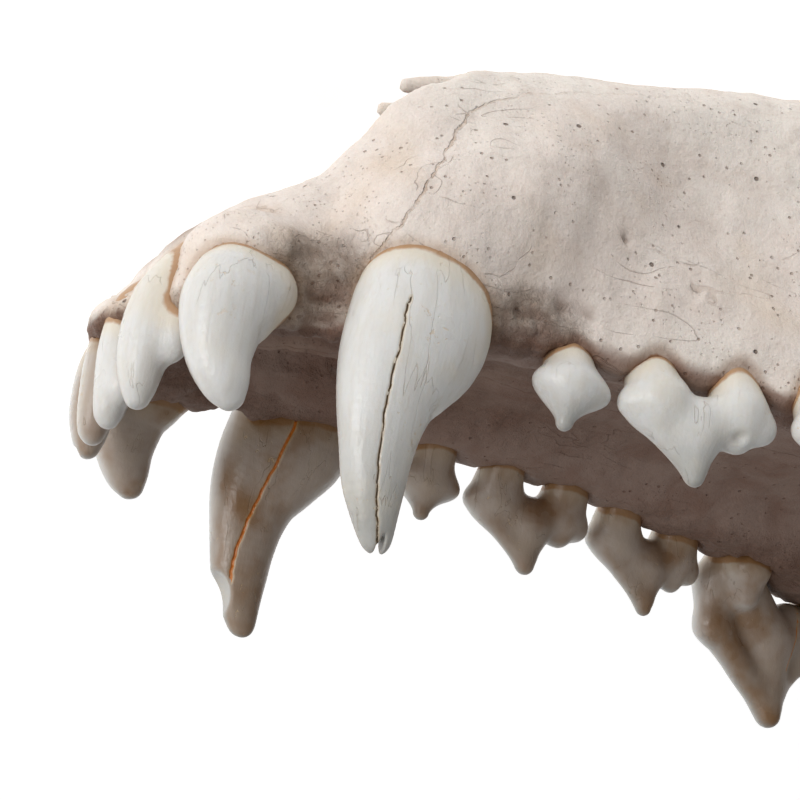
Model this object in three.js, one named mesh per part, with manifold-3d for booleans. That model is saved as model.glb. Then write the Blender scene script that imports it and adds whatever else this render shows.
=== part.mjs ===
// Wolf skull (cranium with its upper teeth), life size, lying on its right side as it comes to
// rest on a table. Millimetres, +Z up, origin under the middle of the skull at table level.
import * as THREE from 'three';
import { mergeVertices } from 'three/addons/utils/BufferGeometryUtils.js';
import Module from 'manifold-3d';

// ---- Driving dimensions, in millimetres. The modelling axes are the animal's own: x runs back
// from the front of the premaxilla, y runs out to either side (both sides are mirror images), and
// z runs up from the rims of the tooth sockets.
const TOTAL_LENGTH = 268;          // front of the premaxilla to the back of the nuchal crest
const CONDYLE_X = 247;             // back of the occipital condyles
const ARCH_HALF = 70;              // half the width across the zygomatic arches
const PROCESS_HALF = 32;           // half the width across the postorbital processes
const WAIST_HALF = 20.5;           // half the postorbital constriction
const BRAINCASE_HALF = 33;         // half the width of the braincase
const MASTOID_HALF = 42;           // half the width across the mastoids
const SNOUT_HALF = 20.5;           // half the width of the muzzle just behind the canines
const MOLAR_HALF = 39;             // half the width of the upper jaw at the first molar
const FRONTAL_TOP = 70;            // height of the forehead
const CREST_TOP = 75;              // height of the sagittal crest
const NASAL_TIP_X = 27.6;          // front of the nasal bones
const PALATE_RISE = 5;             // height of the palate vault above the sockets
const ORBIT_RADIUS = 19.5;
const CANINE_X = 26.5;             // canine crown, at its neck
const CANINE_TIP_Z = -22.7;

// ---- Lofts: [x, bottom z, top z, half-width at the bottom, half-way up, at the top]
const MUZZLE = [
  [-1.2, 0.4, 3, 6, 5.6, 5],
  [1, -0.4, 4.6, 8.8, 8.2, 7.2],
  [5, -1.6, 9.7, 13.4, 12.8, 11],
  [11, -1.7, 14.5, 16.2, 15.2, 12.8],
  [17, -0.8, 19.6, 17, 16.2, 13.4],
  [20, -0.5, 24.6, 17.8, 16.8, 12.8],
  [24, -0.2, 31.8, 19, 18.2, 11.8],
  [28, 0.2, 36.2, 19.6, 19.2, 10.8],
  [36, 1.4, 38.1, 19.8, 20, 10.6],
  [46, 2, 40.1, SNOUT_HALF, 19.6, 11.4],
  [60, 1.8, 42.6, 22.2, 20, 12],
  [76, 0.8, 45.7, 25.6, 22.2, 12.4],
  [92, -0.2, 48, 31, 26.4, 13.6],
  [106, -0.6, 51.6, 36.5, 32.5, 16.4],
  [118, -0.6, 55, MOLAR_HALF, 36, 16.5],
  [130, 0.8, 58, 35, 36, 17]];
const SKULL_BASE = [
  [104, 3, 52, 15, 17, 17],
  [122, 2, 57, 14.5, 16.5, 15],
  [140, 0, 60, 13.2, 16.5, 14],
  [158, -1, 63, 12, 16, 14],
  [174, -1, 67, 12, 18, 17],
  [184, 5, 67, 14, 21, 9],
  [200, 8, 62, 17, 27, 10],
  [226, 8, 56, 17, 28, 12],
  [243, 8, 50, 13, 24, 10]];
const NASAL_CAVITY = [
  [5.5, 9.6, 60, 3.5, 4, 4],
  [10, 9.2, 60, 6.5, 7.4, 8],
  [16, 9, 60, 8.4, 10, 10.6],
  [22, 9, 62, 9.2, 11.2, 10.2],
  [27, 9, 64, 9.6, 12, 9],
  [31, 9.4, 44, 9.6, 12.6, 7.6],
  [36, 10, 36.4, 9.6, 12.6, 7.6],
  [50, 12, 36, 8, 11, 6],
  [62, 16, 32, 4, 6, 3]];
const PALATE_VAULT = [
  [9, -20, 0, 7, 7, 5],
  [15, -20, PALATE_RISE - 2.5, 11, 11, 8],
  [28, -20, PALATE_RISE - 1.2, 13.6, 13.6, 10],
  [50, -20, PALATE_RISE, 14.5, 14.5, 11],
  [75, -20, PALATE_RISE + 0.4, 17, 17, 13],
  [98, -20, PALATE_RISE + 0.8, 21, 21, 16],
  [116, -20, PALATE_RISE + 1.4, 24.5, 24.5, 18],
  [136, -20, PALATE_RISE + 3, 26, 26, 19]];
const CHOANA = [
  [119, -20, 9, 7.5, 7.5, 6],
  [126, -20, 14, 9, 9, 7.5],
  [150, -20, 15.5, 8.8, 8.8, 7.5],
  [172, -20, 14.5, 8.6, 8.6, 7],
  [188, -20, 9.5, 9.5, 9.5, 8],
  [200, -20, 6.5, 11, 11, 9]];
const BASIN = [
  [176, 8.5, 24, 10, 12, 12],
  [200, 8, 24, 10.5, 12, 12],
  [225, 8.5, 24, 12.5, 14, 14],
  [243, 10, 24, 15, 16, 14]];

// ---- Strips: [x, y, z, half-height, half-thickness] along the middle of a blade of bone
const ZYGOMATIC_ARCH = [
  [104, 33, 16, 11, 7],
  [117, 43, 16.5, 10.5, 6.5],
  [130, 51, 19.5, 9.2, 4.8],
  [146, ARCH_HALF - 12.2, 24.5, 8.4, 3.8],
  [162, ARCH_HALF - 6.6, 29.5, 7.6, 3.3],
  [175, ARCH_HALF - 2.6, 31.5, 6.8, 3],
  [187, ARCH_HALF - 2.8, 30, 6.4, 3.2],
  [197, ARCH_HALF - 7.6, 27, 6.4, 4.2],
  [204, 52, 25, 6, 6],
  [207, 43, 25, 6, 6.5]];
const NUCHAL_CREST = [
  [TOTAL_LENGTH - 4.5, 0, CREST_TOP - 4.5, 4, 3.6],
  [TOTAL_LENGTH - 7, 10, CREST_TOP - 9, 3.6, 3.4],
  [TOTAL_LENGTH - 14, 23, CREST_TOP - 19, 4, 3],
  [TOTAL_LENGTH - 24, 35, 42, 4.6, 3],
  [TOTAL_LENGTH - 33, MASTOID_HALF - 3.4, 29, 5, 3],
  [TOTAL_LENGTH - 38, MASTOID_HALF - 3, 19, 5, 3.6]];
const SAGITTAL_CREST = [
  [180, 0, FRONTAL_TOP - 4, 4, 2.6],
  [192, 0, 68, 6, 2.3],
  [210, 0, 68.5, 6.5, 2.1],
  [230, 0, 68, 6.5, 2],
  [248, 0, 66.5, 7, 2.2],
  [TOTAL_LENGTH - 4, 0, 67, 6, 3]];

// ---- The bone: each row joins ("add") or takes away ("cut") one form, blended over the given
// width. The forms: "loft" of the rows above with the rounding of its long edges; "ball" with its
// centre, radii and turns about x, y and z in degrees; "cone" between two points with a radius at
// each; "strip" along the rows above; "horn" along rows of x, y, z and radius, with its width as
// a share of its length.
const BONE = [
  ["add", 1, "loft", MUZZLE, 8, 2.2],
  ["add", 5, "loft", SKULL_BASE, 6, 3],
  // swellings over the roots of the canine, and the hollows before and behind it
  ["add", 8, "cone", [31.5, 16.2, 11], 6.2, [46, 14.5, 23], 5.5],
  ["add", 3, "ball", [29, 17.6, 12.5], [8, 5, 6], [0, 0, 0]],
  ["add", 2.5, "ball", [10.8, 14, 6.8], [5.2, 3.7, 4], [0, 0, 30]],
  ["cut", 3, "ball", [18, 22, 1.4], [3.9, 7, 6], [0, 0, 14]],
  ["cut", 9, "ball", [64, 32, 25], [20, 13, 14], [0, 0, 8]],
  // cheek and the root of the arch above the molars
  ["add", 10, "ball", [110, 26, 16], [22, 13, 14], [0, 0, 20]],
  ["add", 7, "strip", ZYGOMATIC_ARCH],
  // front wall and rim of the orbit
  ["add", 7, "cone", [117, 17, 46], 9, [122, 35, 29], 9],
  ["add", 5, "cone", [122, 36, 30], 7, [132, 50, 26], 5],
  ["cut", 5, "ball", [99, 40, 30], [14, 11, 12], [0, 20, 25]],
  // forehead: two domes with a shallow valley between, and the postorbital processes
  ["add", 9, "ball", [142, 8.5, 56.5], [29, 11, 9.6], [-24, -9, 0]],
  ["add", 8, "ball", [161, 9.5, 60.5], [18, 12.5, 8.8], [-26, 0, 0]],
  ["add", 7, "cone", [158, 19, 58.5], 5, [167.5, PROCESS_HALF - 2, 54.5], 2.4],
  // braincase, its waist and the crest along its top
  ["add", 8, "ball", [212, 0, 37], [43, BRAINCASE_HALF, 27.5], [0, 4, 0]],
  ["add", 8, "ball", [182, 0, 48], [20, WAIST_HALF, 20], [0, 0, 0]],
  ["add", 5, "cone", [165, 28, 57.5], 1.8, [186, 3, 68.5], 2],
  ["add", 7, "strip", SAGITTAL_CREST],
  // back of the skull
  ["add", 7, "ball", [244, 0, 40], [10, 31, 28], [0, 24, 0]],
  ["add", 5, "strip", NUCHAL_CREST],
  ["add", 5, "cone", [TOTAL_LENGTH - 4, 0, 66], 3.4, [CONDYLE_X + 2, 0, 32], 3],
  ["add", 3, "loft", BASIN, 5, 3],
  ["add", 5, "ball", [232, 30, 22], [10, 12, 13], [0, 0, 0]],
  ["add", 4, "ball", [234, 31, 36], [9, 8, 10], [0, 24, 0]],
  ["add", 3, "ball", [CONDYLE_X - 8, 14, 15.5], [9, 8.4, 11], [20, 24, 14]],
  ["add", 4, "cone", [232, 31.5, 15], 5.4, [238.5, 31, -5.5], 2.2],
  ["cut", 3, "cone", [CONDYLE_X + 12, 0, 21], 9.2, [228, 0, 20.5], 8.6],
  ["cut", 4, "cone", [230, 0, 24], 10, [196, 0, 36], 12.5],
  // middle ear: bulla, mouth of the ear canal, mastoid
  ["add", 2.5, "ball", [210, 18.5, 7], [13.6, 9.6, 9.2], [0, 0, -16]],
  ["add", 4, "cone", [212, 24, 13], 6.4, [213.5, 32, 15], 5.4],
  ["cut", 1.5, "cone", [213, 27, 14.5], 2.6, [214, 44, 16], 3.6],
  ["add", 4, "ball", [229, MASTOID_HALF - 4, 19], [7, 5, 8.5], [0, 0, 0]],
  // jaw joint: shelf, hollow for the jaw's head and the wall behind it
  ["add", 6, "ball", [198, 40, 23], [13, 22, 6.4], [0, 0, 0]],
  ["add", 3.5, "ball", [203, 48, 13], [3.6, 11.5, 8], [0, 12, -6]],
  ["cut", 4, "cone", [192.5, 36, 8.5], 8.4, [192.5, 64, 9.5], 8.4],
  // processes on the arch
  ["add", 5, "cone", [152, ARCH_HALF - 11, 32], 3.6, [157, ARCH_HALF - 10.5, 39], 2],
  // hollows: palate, passage behind it, orbit and temple, nose
  ["cut", 5, "loft", PALATE_VAULT, 5, 4],
  ["cut", 2.5, "loft", CHOANA, 4, 4],
  ["add", 2.5, "cone", [162, 11.6, 2], 2.2, [176, 12.6, -5], 1.5],
  ["cut", 4, "ball", [142, 38, 41], [ORBIT_RADIUS, ORBIT_RADIUS + 1, ORBIT_RADIUS - 1], [0, 0, 20]],
  ["cut", 5, "ball", [152, 38, 20], [20, 18.5, 15], [0, 0, 24]],
  ["cut", 2, "loft", NASAL_CAVITY, 4, 3],
  // tips of the nasal bones, two to a side, over the opening
  ["add", 1.6, "cone", [NASAL_TIP_X + 0.7, 3.4, 34.8], 0.7, [40, 3.6, 37.3], 2.1],
  ["add", 1.6, "cone", [NASAL_TIP_X + 9.4, 6.4, 35.2], 1, [43, 6.4, 36.6], 1.8],
  // floor of the nose, and the septum's rib
  ["add", 2.5, "cone", [14, 0, 7.6], 1.6, [60, 0, 12], 2.2],
  // openings: incisive, infraorbital, orbital, palatine
  ["cut", 1.6, "cone", [17.5, 4, 3], 2, [30, 4.8, 4], 2.6],
  ["cut", 2, "cone", [88, 36, 18.5], 4.4, [101, 25, 21], 2.8],
  ["cut", 1, "cone", [172, 28, 26], 2.2, [178, 12, 25], 1.8],
  ["cut", 1, "cone", [164, 26, 31], 1.8, [170, 10, 31], 1.4],
  ["cut", 1, "cone", [122, 40, 43], 1.6, [112, 30, 40], 1.2]];

// ---- The teeth of one side: each a few forms, blended over the given width.
const TEETH = [
  ["incisor_1", 1.4,
    ["horn", [[6.4, 2.9, 6, 1.8], [3.6, 3, 2, 2.5], [2.9, 3.1, -2, 2.65], [2.4, 3.2, -6, 2.1],
      [2.3, 3.2, -8.8, 1.6], [2.4, 3.2, -9.7, 1.2]], 1.05],
    ["ball", [5, 3.1, -1.5], [2.4, 2.1, 2.4], [0, 0, 0]],
    ["ball", [2.9, 5.1, -6.6], [1.2, 1.1, 1.8], [0, 0, 0]]],
  ["incisor_2", 1.5,
    ["horn", [[7, 8, 7, 1.9], [5, 8.6, 3, 2.7], [4, 9.2, -1, 3.05], [3.4, 9.7, -5, 2.5],
      [3.4, 9.8, -7.6, 1.9], [3.5, 9.8, -9.1, 1.3]], 1.04],
    ["ball", [5.8, 11.8, -2.6], [1.6, 1.7, 2.9], [0, 0, -30]],
    ["ball", [6.6, 8.9, -1], [2.6, 2.3, 2.5], [0, 0, -20]]],
  ["incisor_3", 1.6,
    ["horn", [[13.6, 12, 9, 3], [11, 13.8, 4.6, 3.7], [9.9, 15.7, 1.1, 4.9], [8.9, 16.6, -1.6, 4.3],
      [8.9, 17.3, -5.4, 3.35], [9.7, 17.9, -8.1, 2.5], [10.4, 18.1, -9.6, 1.6]], 0.86],
    ["ball", [13.2, 15.4, 2.6], [3.2, 2.8, 3.2], [0, 0, -20]]],
  ["canine", 2,
    ["horn", [[35, 14.5, 15, 4], [31, 16.8, 9.6, 5.6], [28.7, 18.5, 4.6, 6.9], [27.9, 19.4, 0.8, 7.2],
      [26.55, 20.2, -2.4, 6.45], [25.3, 20.7, -5.6, 5.3], [24.75, 21, -8.9, 4.45], [24.65, 21.2, -12.6, 3.7],
      [24.8, 21.3, -15.6, 3.2], [25.2, 21.3, -18.2, 2.5], [25.75, 21.2, -20.8, 1.7], [25.95, 21.1, -21.4, 1.35]], 0.75]],
  ["premolar_1", 1.2,
    ["cone", [44.6, 16.8, 5], 2.2, [44.5, 19.4, -0.6], 2.9],
    ["ball", [44.6, 19.6, -0.9], [4.1, 2.7, 2.1], [0, 6, 6]],
    ["cone", [44.4, 19.6, -1.8], 2.0, [44.3, 19.5, -4.6], 0.9]],
  ["premolar_2", 1.3,
    ["cone", [53.4, 17.4, 6], 2.2, [53.3, 20.6, -0.2], 3.1],
    ["cone", [62, 18.8, 6], 2.2, [62.1, 21.8, 0], 3.1],
    ["cone", [54.4, 21.1, -0.8], 2.7, [58, 21.2, -3.2], 2.4],
    ["cone", [58, 21.2, -3.2], 2.5, [58.2, 21.1, -7.6], 0.95],
    ["cone", [50.8, 20.5, -1.2], 1.3, [57.8, 21.1, -6.6], 1.0],
    ["cone", [58.3, 21.4, -1.6], 2.3, [62, 21.9, -1.2], 2.5],
    ["cone", [62, 22, -1.5], 1.5, [62.2, 21.8, -3.2], 1.0],
    ["ball", [64.6, 22.4, -1.4], [1.4, 1.4, 1.5], [0, 0, 0]]],
  ["premolar_3", 1.3,
    ["cone", [70.2, 21, 6], 2.2, [70.4, 24.6, 0], 3],
    ["cone", [79, 23.6, 6], 2.2, [79.2, 26.8, 0.2], 3.2],
    ["cone", [71.6, 25.2, -0.9], 2.6, [75.6, 26.2, -3.4], 2.4],
    ["cone", [75.6, 26.2, -3.4], 2.4, [76, 26.3, -7.9], 0.9],
    ["cone", [68.2, 24.6, -1.2], 1.2, [75.6, 26, -6.8], 0.9],
    ["cone", [75.8, 26.2, -1.8], 2.3, [79.4, 27, -1.6], 2.5],
    ["cone", [79.4, 27, -1.6], 1.6, [79.6, 27, -3.9], 0.9],
    ["ball", [82, 27.6, -1.8], [1.3, 1.4, 1.6], [0, 0, 0]]],
  ["carnassial", 1.6,
    ["cone", [89, 26.4, 7], 2.6, [88.6, 30, -0.6], 3.9],
    ["cone", [89, 25.4, 5], 2, [89.2, 25.8, 0.2], 2.6],
    ["cone", [104.5, 32, 7], 2.8, [104.2, 35, -0.6], 3.9],
    ["cone", [89.6, 30.3, -1.5], 3.8, [95.6, 33, -6.4], 3.6],
    ["cone", [95.6, 33, -6.4], 3.6, [97.6, 33.7, -15.5], 1.45],
    ["cone", [86.4, 29.6, -1.6], 2.4, [87, 30, -6.8], 2],
    ["cone", [87, 30, -6.8], 2, [96.8, 33.5, -14.4], 1.5],
    ["cone", [89.2, 26, -0.5], 2.2, [89.6, 26.6, -3.2], 1.3],
    ["cone", [99, 33.8, -4], 3.1, [106.6, 36, -5], 2.7],
    ["cone", [101, 34.4, -7.2], 1.4, [108.6, 36.6, -8.2], 1.1],
    ["cone", [98.4, 34, -12], 1.2, [101.4, 34.6, -8], 1.3]],
  ["molar_1", 1.8,
    ["cone", [113, 38, 6], 2.6, [113.4, 38.2, -0.6], 3.4],
    ["cone", [120.6, 37, 6], 2.4, [120.4, 37.2, -0.6], 3.1],
    ["cone", [117.6, 26, 6], 2.8, [117.6, 26.4, 0.4], 3.6],
    ["cone", [113.6, 37.8, -1.4], 2.9, [114, 37, -6.8], 1.1],
    ["cone", [120.2, 36.8, -1.2], 2.6, [120, 36.2, -5.6], 1.0],
    ["ball", [116.8, 37.2, -1.6], [6.8, 4, 2.8], [0, 0, -8]],
    ["ball", [117.2, 29.6, -0.4], [5.4, 7.4, 2.6], [0, 0, -8]],
    ["cone", [116.2, 28.6, -1.4], 2.0, [116.4, 29, -3.8], 1.1],
    ["ball", [117.8, 24.4, -1], [3.6, 2.2, 2.2], [0, 0, 0]]],
  ["molar_2", 1.4,
    ["cone", [127.4, 31, 6], 2.4, [127.4, 31.2, -0.4], 2.8],
    ["ball", [127.6, 29.2, -0.8], [3.8, 6.4, 2.4], [0, 0, -6]],
    ["cone", [126.2, 32, -1.4], 1.6, [126.4, 31.8, -3.6], 0.9],
    ["cone", [129, 31.4, -1.2], 1.4, [129, 31.2, -3], 0.8],
    ["ball", [127.6, 25.8, -1.2], [2.4, 1.8, 1.6], [0, 0, 0]]]];

// ---- How the skull lies: its turn from the modelling axes, and the lift onto the table
const REST_TURN = [0.954941, 0.029666, 0.102257, -0.277039];      // quaternion x, y, z, w
const REST_SHIFT = [-136.811, -16.662, 32.110];

// ---- Facets
const BONE_GRID = 2.6;               // spacing at which the bone's surface is sampled
const TOOTH_GRID = 0.75;
const BONE_TRIANGLES = 5200;
const TOOTH_TRIANGLES = {
  incisor_1: 110, incisor_2: 120, incisor_3: 140, canine: 240, premolar_1: 110, premolar_2: 220,
  premolar_3: 220, carnassial: 280, molar_1: 240, molar_2: 130,
};

// ---- Distance to a form, in millimetres, less than nothing inside
const STEP = 0.5;

function hermiteRows(rows, at) {
  // smooth curve through the rows, whose first number is the parameter
  let i = 0;
  while (i < rows.length - 2 && at > rows[i + 1][0]) i += 1;
  const a = rows[i], b = rows[i + 1], h = b[0] - a[0];
  const before = rows[Math.max(i - 1, 0)], after = rows[Math.min(i + 2, rows.length - 1)];
  const t = Math.min(Math.max((at - a[0]) / h, 0), 1), t2 = t * t, t3 = t2 * t;
  return a.map((_, c) => {
    const ma = (b[c] - before[c]) / (b[0] - before[0]) * h;
    const mb = (after[c] - a[c]) / (after[0] - a[0]) * h;
    return (2 * t3 - 3 * t2 + 1) * a[c] + (t3 - 2 * t2 + t) * ma
      + (3 * t2 - 2 * t3) * b[c] + (t3 - t2) * mb;
  });
}

function rounding(a, b, k) {
  // smooth maximum
  const h = Math.max(k - Math.abs(a - b), 0) / k;
  return Math.max(a, b) + h * h * k / 4;
}

function turned(turns) {
  const [roll, pitch, yaw] = turns.map((t) => t * Math.PI / 180);
  const m = new THREE.Matrix4().makeRotationFromEuler(new THREE.Euler(roll, pitch, yaw, 'ZYX'));
  const e = m.elements;
  return [e[0], e[1], e[2], e[4], e[5], e[6], e[8], e[9], e[10]];
}

function makeLoft(rows, edge, ends) {
  const x0 = rows[0][0], x1 = rows[rows.length - 1][0];
  const count = Math.ceil((x1 - x0) / STEP) + 1, table = [];
  for (let i = 0; i < count; i += 1) table.push(hermiteRows(rows, x0 + i * STEP).slice(1));
  return (x, y, z) => {
    const at = Math.min(Math.max((x - x0) / STEP, 0), count - 1.001);
    const i = Math.floor(at), f = at - i, a = table[i], b = table[i + 1];
    const v = [0, 1, 2, 3, 4].map((c) => a[c] + (b[c] - a[c]) * f);
    const inside = x > x0 && x < x1 ? 1 / STEP : 0;
    const d = [0, 1, 2, 3, 4].map((c) => (b[c] - a[c]) * inside);
    const h = v[1] - v[0];
    const t = Math.min(Math.max((z - v[0]) / h, 0), 1);
    const c0 = (1 - t) * (1 - 2 * t), c1 = 4 * t * (1 - t), c2 = t * (2 * t - 1);
    const w = c0 * v[2] + c1 * v[3] + c2 * v[4];
    const wx = c0 * d[2] + c1 * d[3] + c2 * d[4];
    const wz = ((4 * t - 3) * v[2] + (4 - 8 * t) * v[3] + (4 * t - 1) * v[4]) / h;
    const side = (y - w) / Math.sqrt(1 + wx * wx + wz * wz);
    const top = (z - v[1]) / Math.sqrt(1 + d[1] * d[1]);
    const bottom = (v[0] - z) / Math.sqrt(1 + d[0] * d[0]);
    let out = rounding(side, top, edge);
    out = rounding(out, bottom, ends);
    return rounding(out, Math.max(x0 - x, x - x1), ends);
  };
}

function makeBall(centre, radii, turns = [0, 0, 0]) {
  const m = turned(turns);
  return (x, y, z) => {
    const p = [x - centre[0], y - centre[1], z - centre[2]];
    let s0 = 0, s1 = 0;
    for (let c = 0; c < 3; c += 1) {
      const q = (m[3 * c] * p[0] + m[3 * c + 1] * p[1] + m[3 * c + 2] * p[2]) / radii[c];
      s0 += q * q;
      s1 += q * q / radii[c] / radii[c];
    }
    const k0 = Math.sqrt(s0);
    return k0 * (k0 - 1) / Math.max(Math.sqrt(s1), 1e-6);
  };
}

function makeCone(a, ra, b, rb) {
  const u = b.map((v, c) => v - a[c]), uu = u[0] * u[0] + u[1] * u[1] + u[2] * u[2];
  return (x, y, z) => {
    const p = [x - a[0], y - a[1], z - a[2]];
    const t = Math.min(Math.max((p[0] * u[0] + p[1] * u[1] + p[2] * u[2]) / uu, 0), 1);
    return Math.hypot(p[0] - t * u[0], p[1] - t * u[1], p[2] - t * u[2]) - (ra + t * (rb - ra));
  };
}

function makeStrip(rows) {
  const path = [], parts = 4;
  const numbered = rows.map((row, i) => [i, ...row]);
  for (let i = 0; i <= (rows.length - 1) * parts; i += 1) {
    path.push(hermiteRows(numbered, i / parts).slice(1));
  }
  return (x, y, z) => {
    let best = Infinity;
    for (let i = 0; i < path.length - 1; i += 1) {
      const a = path[i], b = path[i + 1];
      const u = [b[0] - a[0], b[1] - a[1], b[2] - a[2]];
      const p = [x - a[0], y - a[1], z - a[2]];
      const t = Math.min(Math.max((p[0] * u[0] + p[1] * u[1] + p[2] * u[2])
        / (u[0] * u[0] + u[1] * u[1] + u[2] * u[2]), 0), 1);
      const rh = a[3] + t * (b[3] - a[3]), rt = a[4] + t * (b[4] - a[4]);
      const q2 = (p[0] - t * u[0]) ** 2 + (p[1] - t * u[1]) ** 2, z2 = (p[2] - t * u[2]) ** 2;
      const k0 = Math.sqrt(q2 / rt ** 2 + z2 / rh ** 2);
      const k1 = Math.sqrt(q2 / rt ** 4 + z2 / rh ** 4);
      const d = k0 * (k0 - 1) / Math.max(k1, 1e-6);
      if (d < best) best = d;
    }
    return best;
  };
}

function makeHorn(rows, flat) {
  const path = [], parts = 4;
  const numbered = rows.map((row, i) => [i, ...row]);
  for (let i = 0; i <= (rows.length - 1) * parts; i += 1) {
    path.push(hermiteRows(numbered, i / parts).slice(1));
  }
  return (x, y, z) => {
    let best = Infinity;
    for (let i = 0; i < path.length - 1; i += 1) {
      const a = path[i], b = path[i + 1];
      const u = [b[0] - a[0], b[1] - a[1], b[2] - a[2]];
      const p = [x - a[0], y - a[1], z - a[2]];
      const t = Math.min(Math.max((p[0] * u[0] + p[1] * u[1] + p[2] * u[2])
        / (u[0] * u[0] + u[1] * u[1] + u[2] * u[2]), 0), 1);
      best = Math.min(best, Math.hypot(p[0] - t * u[0], (p[1] - t * u[1]) / flat, p[2] - t * u[2]) - a[3] - t * (b[3] - a[3]));
    }
    return best;
  };
}

const MAKERS = { loft: makeLoft, ball: makeBall, cone: makeCone, strip: makeStrip, horn: makeHorn };

function reachOf(kind, sizes) {
  // a box round a form, so that far-off forms can be passed over
  const spots = {
    loft: () => sizes[0].flatMap((r) => [[[r[0], 0, r[1]], 2], [[r[0], Math.max(r[3], r[4], r[5]), r[2]], 2]]),
    ball: () => [[sizes[0], Math.max(...sizes[1])]],
    cone: () => [[sizes[0], sizes[1]], [sizes[2], sizes[3]]],
    strip: () => sizes[0].map((r) => [r.slice(0, 3), Math.max(r[3], r[4])]),
    horn: () => sizes[0].map((r) => [r.slice(0, 3), r[3] * Math.max(1, sizes[1])]),
  }[kind]();
  return [0, 1, 2].map((c) => [Math.min(...spots.map(([p, r]) => p[c] - r)), Math.max(...spots.map(([p, r]) => p[c] + r))]);
}

function boneDistance() {
  const steps = BONE.map(([mode, width, kind, ...sizes]) => ({
    add: mode === 'add', width, f: MAKERS[kind](...sizes), box: reachOf(kind, sizes).map(([a, b]) => [a - width - 5, b + width + 5]),
  }));
  return (x, ySigned, z) => {
    const y = Math.abs(ySigned);
    let d = 1000;
    for (const s of steps) {
      const b = s.box;
      if (x < b[0][0] || x > b[0][1] || y < b[1][0] || y > b[1][1] || z < b[2][0] || z > b[2][1]) continue;
      const v = s.f(x, y, z);
      d = s.add ? -rounding(-d, -v, s.width) : rounding(d, -v, s.width);
    }
    return d;
  };
}

function toothDistance(width, forms) {
  const made = forms.map(([kind, ...sizes]) => MAKERS[kind](...sizes));
  return (x, y, z) => {
    let d = 1000;
    for (const f of made) d = -rounding(-d, -f(x, y, z), width);
    return d;
  };
}

// ---- Surface of a form: every grid cube is cut into six tetrahedra, which always give a closed
// surface, and each corner of the surface is then moved onto the form
function surface(f, low, high, grid) {
  const n = low.map((v, c) => Math.ceil((high[c] - v) / grid) + 1);
  const value = new Float64Array(n[0] * n[1] * n[2]);
  const id = (i, j, k) => (k * n[1] + j) * n[0] + i;
  for (let k = 0; k < n[2]; k += 1) for (let j = 0; j < n[1]; j += 1) for (let i = 0; i < n[0]; i += 1) {
    let v = f(low[0] + i * grid, low[1] + j * grid, low[2] + k * grid);
    if (i === 0 || j === 0 || k === 0 || i === n[0] - 1 || j === n[1] - 1 || k === n[2] - 1) v = Math.max(v, 0.5 * grid);
    if (Math.abs(v) < 0.02 * grid) v = v < 0 ? -0.02 * grid : 0.02 * grid;
    value[id(i, j, k)] = v;
  }
  const points = [], faces = [], made = new Map();
  const corner = (a, b) => {
    const key = a < b ? a * value.length + b : b * value.length + a;
    let at = made.get(key);
    if (at === undefined) {
      const t = value[a] / (value[a] - value[b]);
      const pa = [a % n[0], Math.floor(a / n[0]) % n[1], Math.floor(a / n[0] / n[1])];
      const pb = [b % n[0], Math.floor(b / n[0]) % n[1], Math.floor(b / n[0] / n[1])];
      at = points.length / 3;
      for (let c = 0; c < 3; c += 1) points.push(low[c] + grid * (pa[c] + t * (pb[c] - pa[c])));
      made.set(key, at);
    }
    return at;
  };
  const orders = [[0, 1, 2], [0, 2, 1], [1, 0, 2], [1, 2, 0], [2, 0, 1], [2, 1, 0]];
  const odd = [false, true, true, false, false, true];
  for (let k = 0; k < n[2] - 1; k += 1) for (let j = 0; j < n[1] - 1; j += 1) for (let i = 0; i < n[0] - 1; i += 1) {
    orders.forEach((order, o) => {
      const at = [i, j, k], tet = [id(...at)];
      for (const axis of order) { at[axis] += 1; tet.push(id(...at)); }
      const ins = tet.filter((v) => value[v] < 0), outs = tet.filter((v) => value[v] >= 0);
      if (!ins.length || !outs.length) return;
      // parity of the in-out arrangement, so that the faces point out
      const sorted = [...ins, ...outs];
      let swaps = 0;
      const perm = sorted.map((v) => tet.indexOf(v));
      for (let a = 0; a < 4; a += 1) for (let b = a + 1; b < 4; b += 1) if (perm[a] > perm[b]) swaps += 1;
      const flip = (swaps % 2 === 1) !== odd[o];
      const put = (a, b, c) => (flip ? faces.push(a, c, b) : faces.push(a, b, c));
      if (ins.length === 1) {
        put(corner(ins[0], outs[0]), corner(ins[0], outs[1]), corner(ins[0], outs[2]));
      } else if (ins.length === 3) {
        put(corner(ins[0], outs[0]), corner(ins[1], outs[0]), corner(ins[2], outs[0]));
      } else {
        const q = [corner(ins[0], outs[0]), corner(ins[0], outs[1]), corner(ins[1], outs[1]), corner(ins[1], outs[0])];
        put(q[0], q[1], q[2]);
        put(q[0], q[2], q[3]);
      }
    });
  }
  const e = 0.05;
  for (let p = 0; p < points.length; p += 3) {
    for (let pass = 0; pass < 2; pass += 1) {
      const [x, y, z] = [points[p], points[p + 1], points[p + 2]], d = f(x, y, z);
      const g = [f(x + e, y, z) - f(x - e, y, z), f(x, y + e, z) - f(x, y - e, z), f(x, y, z + e) - f(x, y, z - e)].map((v) => v / (2 * e));
      const gg = Math.max(g[0] * g[0] + g[1] * g[1] + g[2] * g[2], 0.09);
      const move = Math.min(Math.max(d, -0.25 * grid), 0.25 * grid) / gg;
      for (let c = 0; c < 3; c += 1) points[p + c] -= move * g[c];
    }
  }
  return { points, faces };
}

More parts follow.
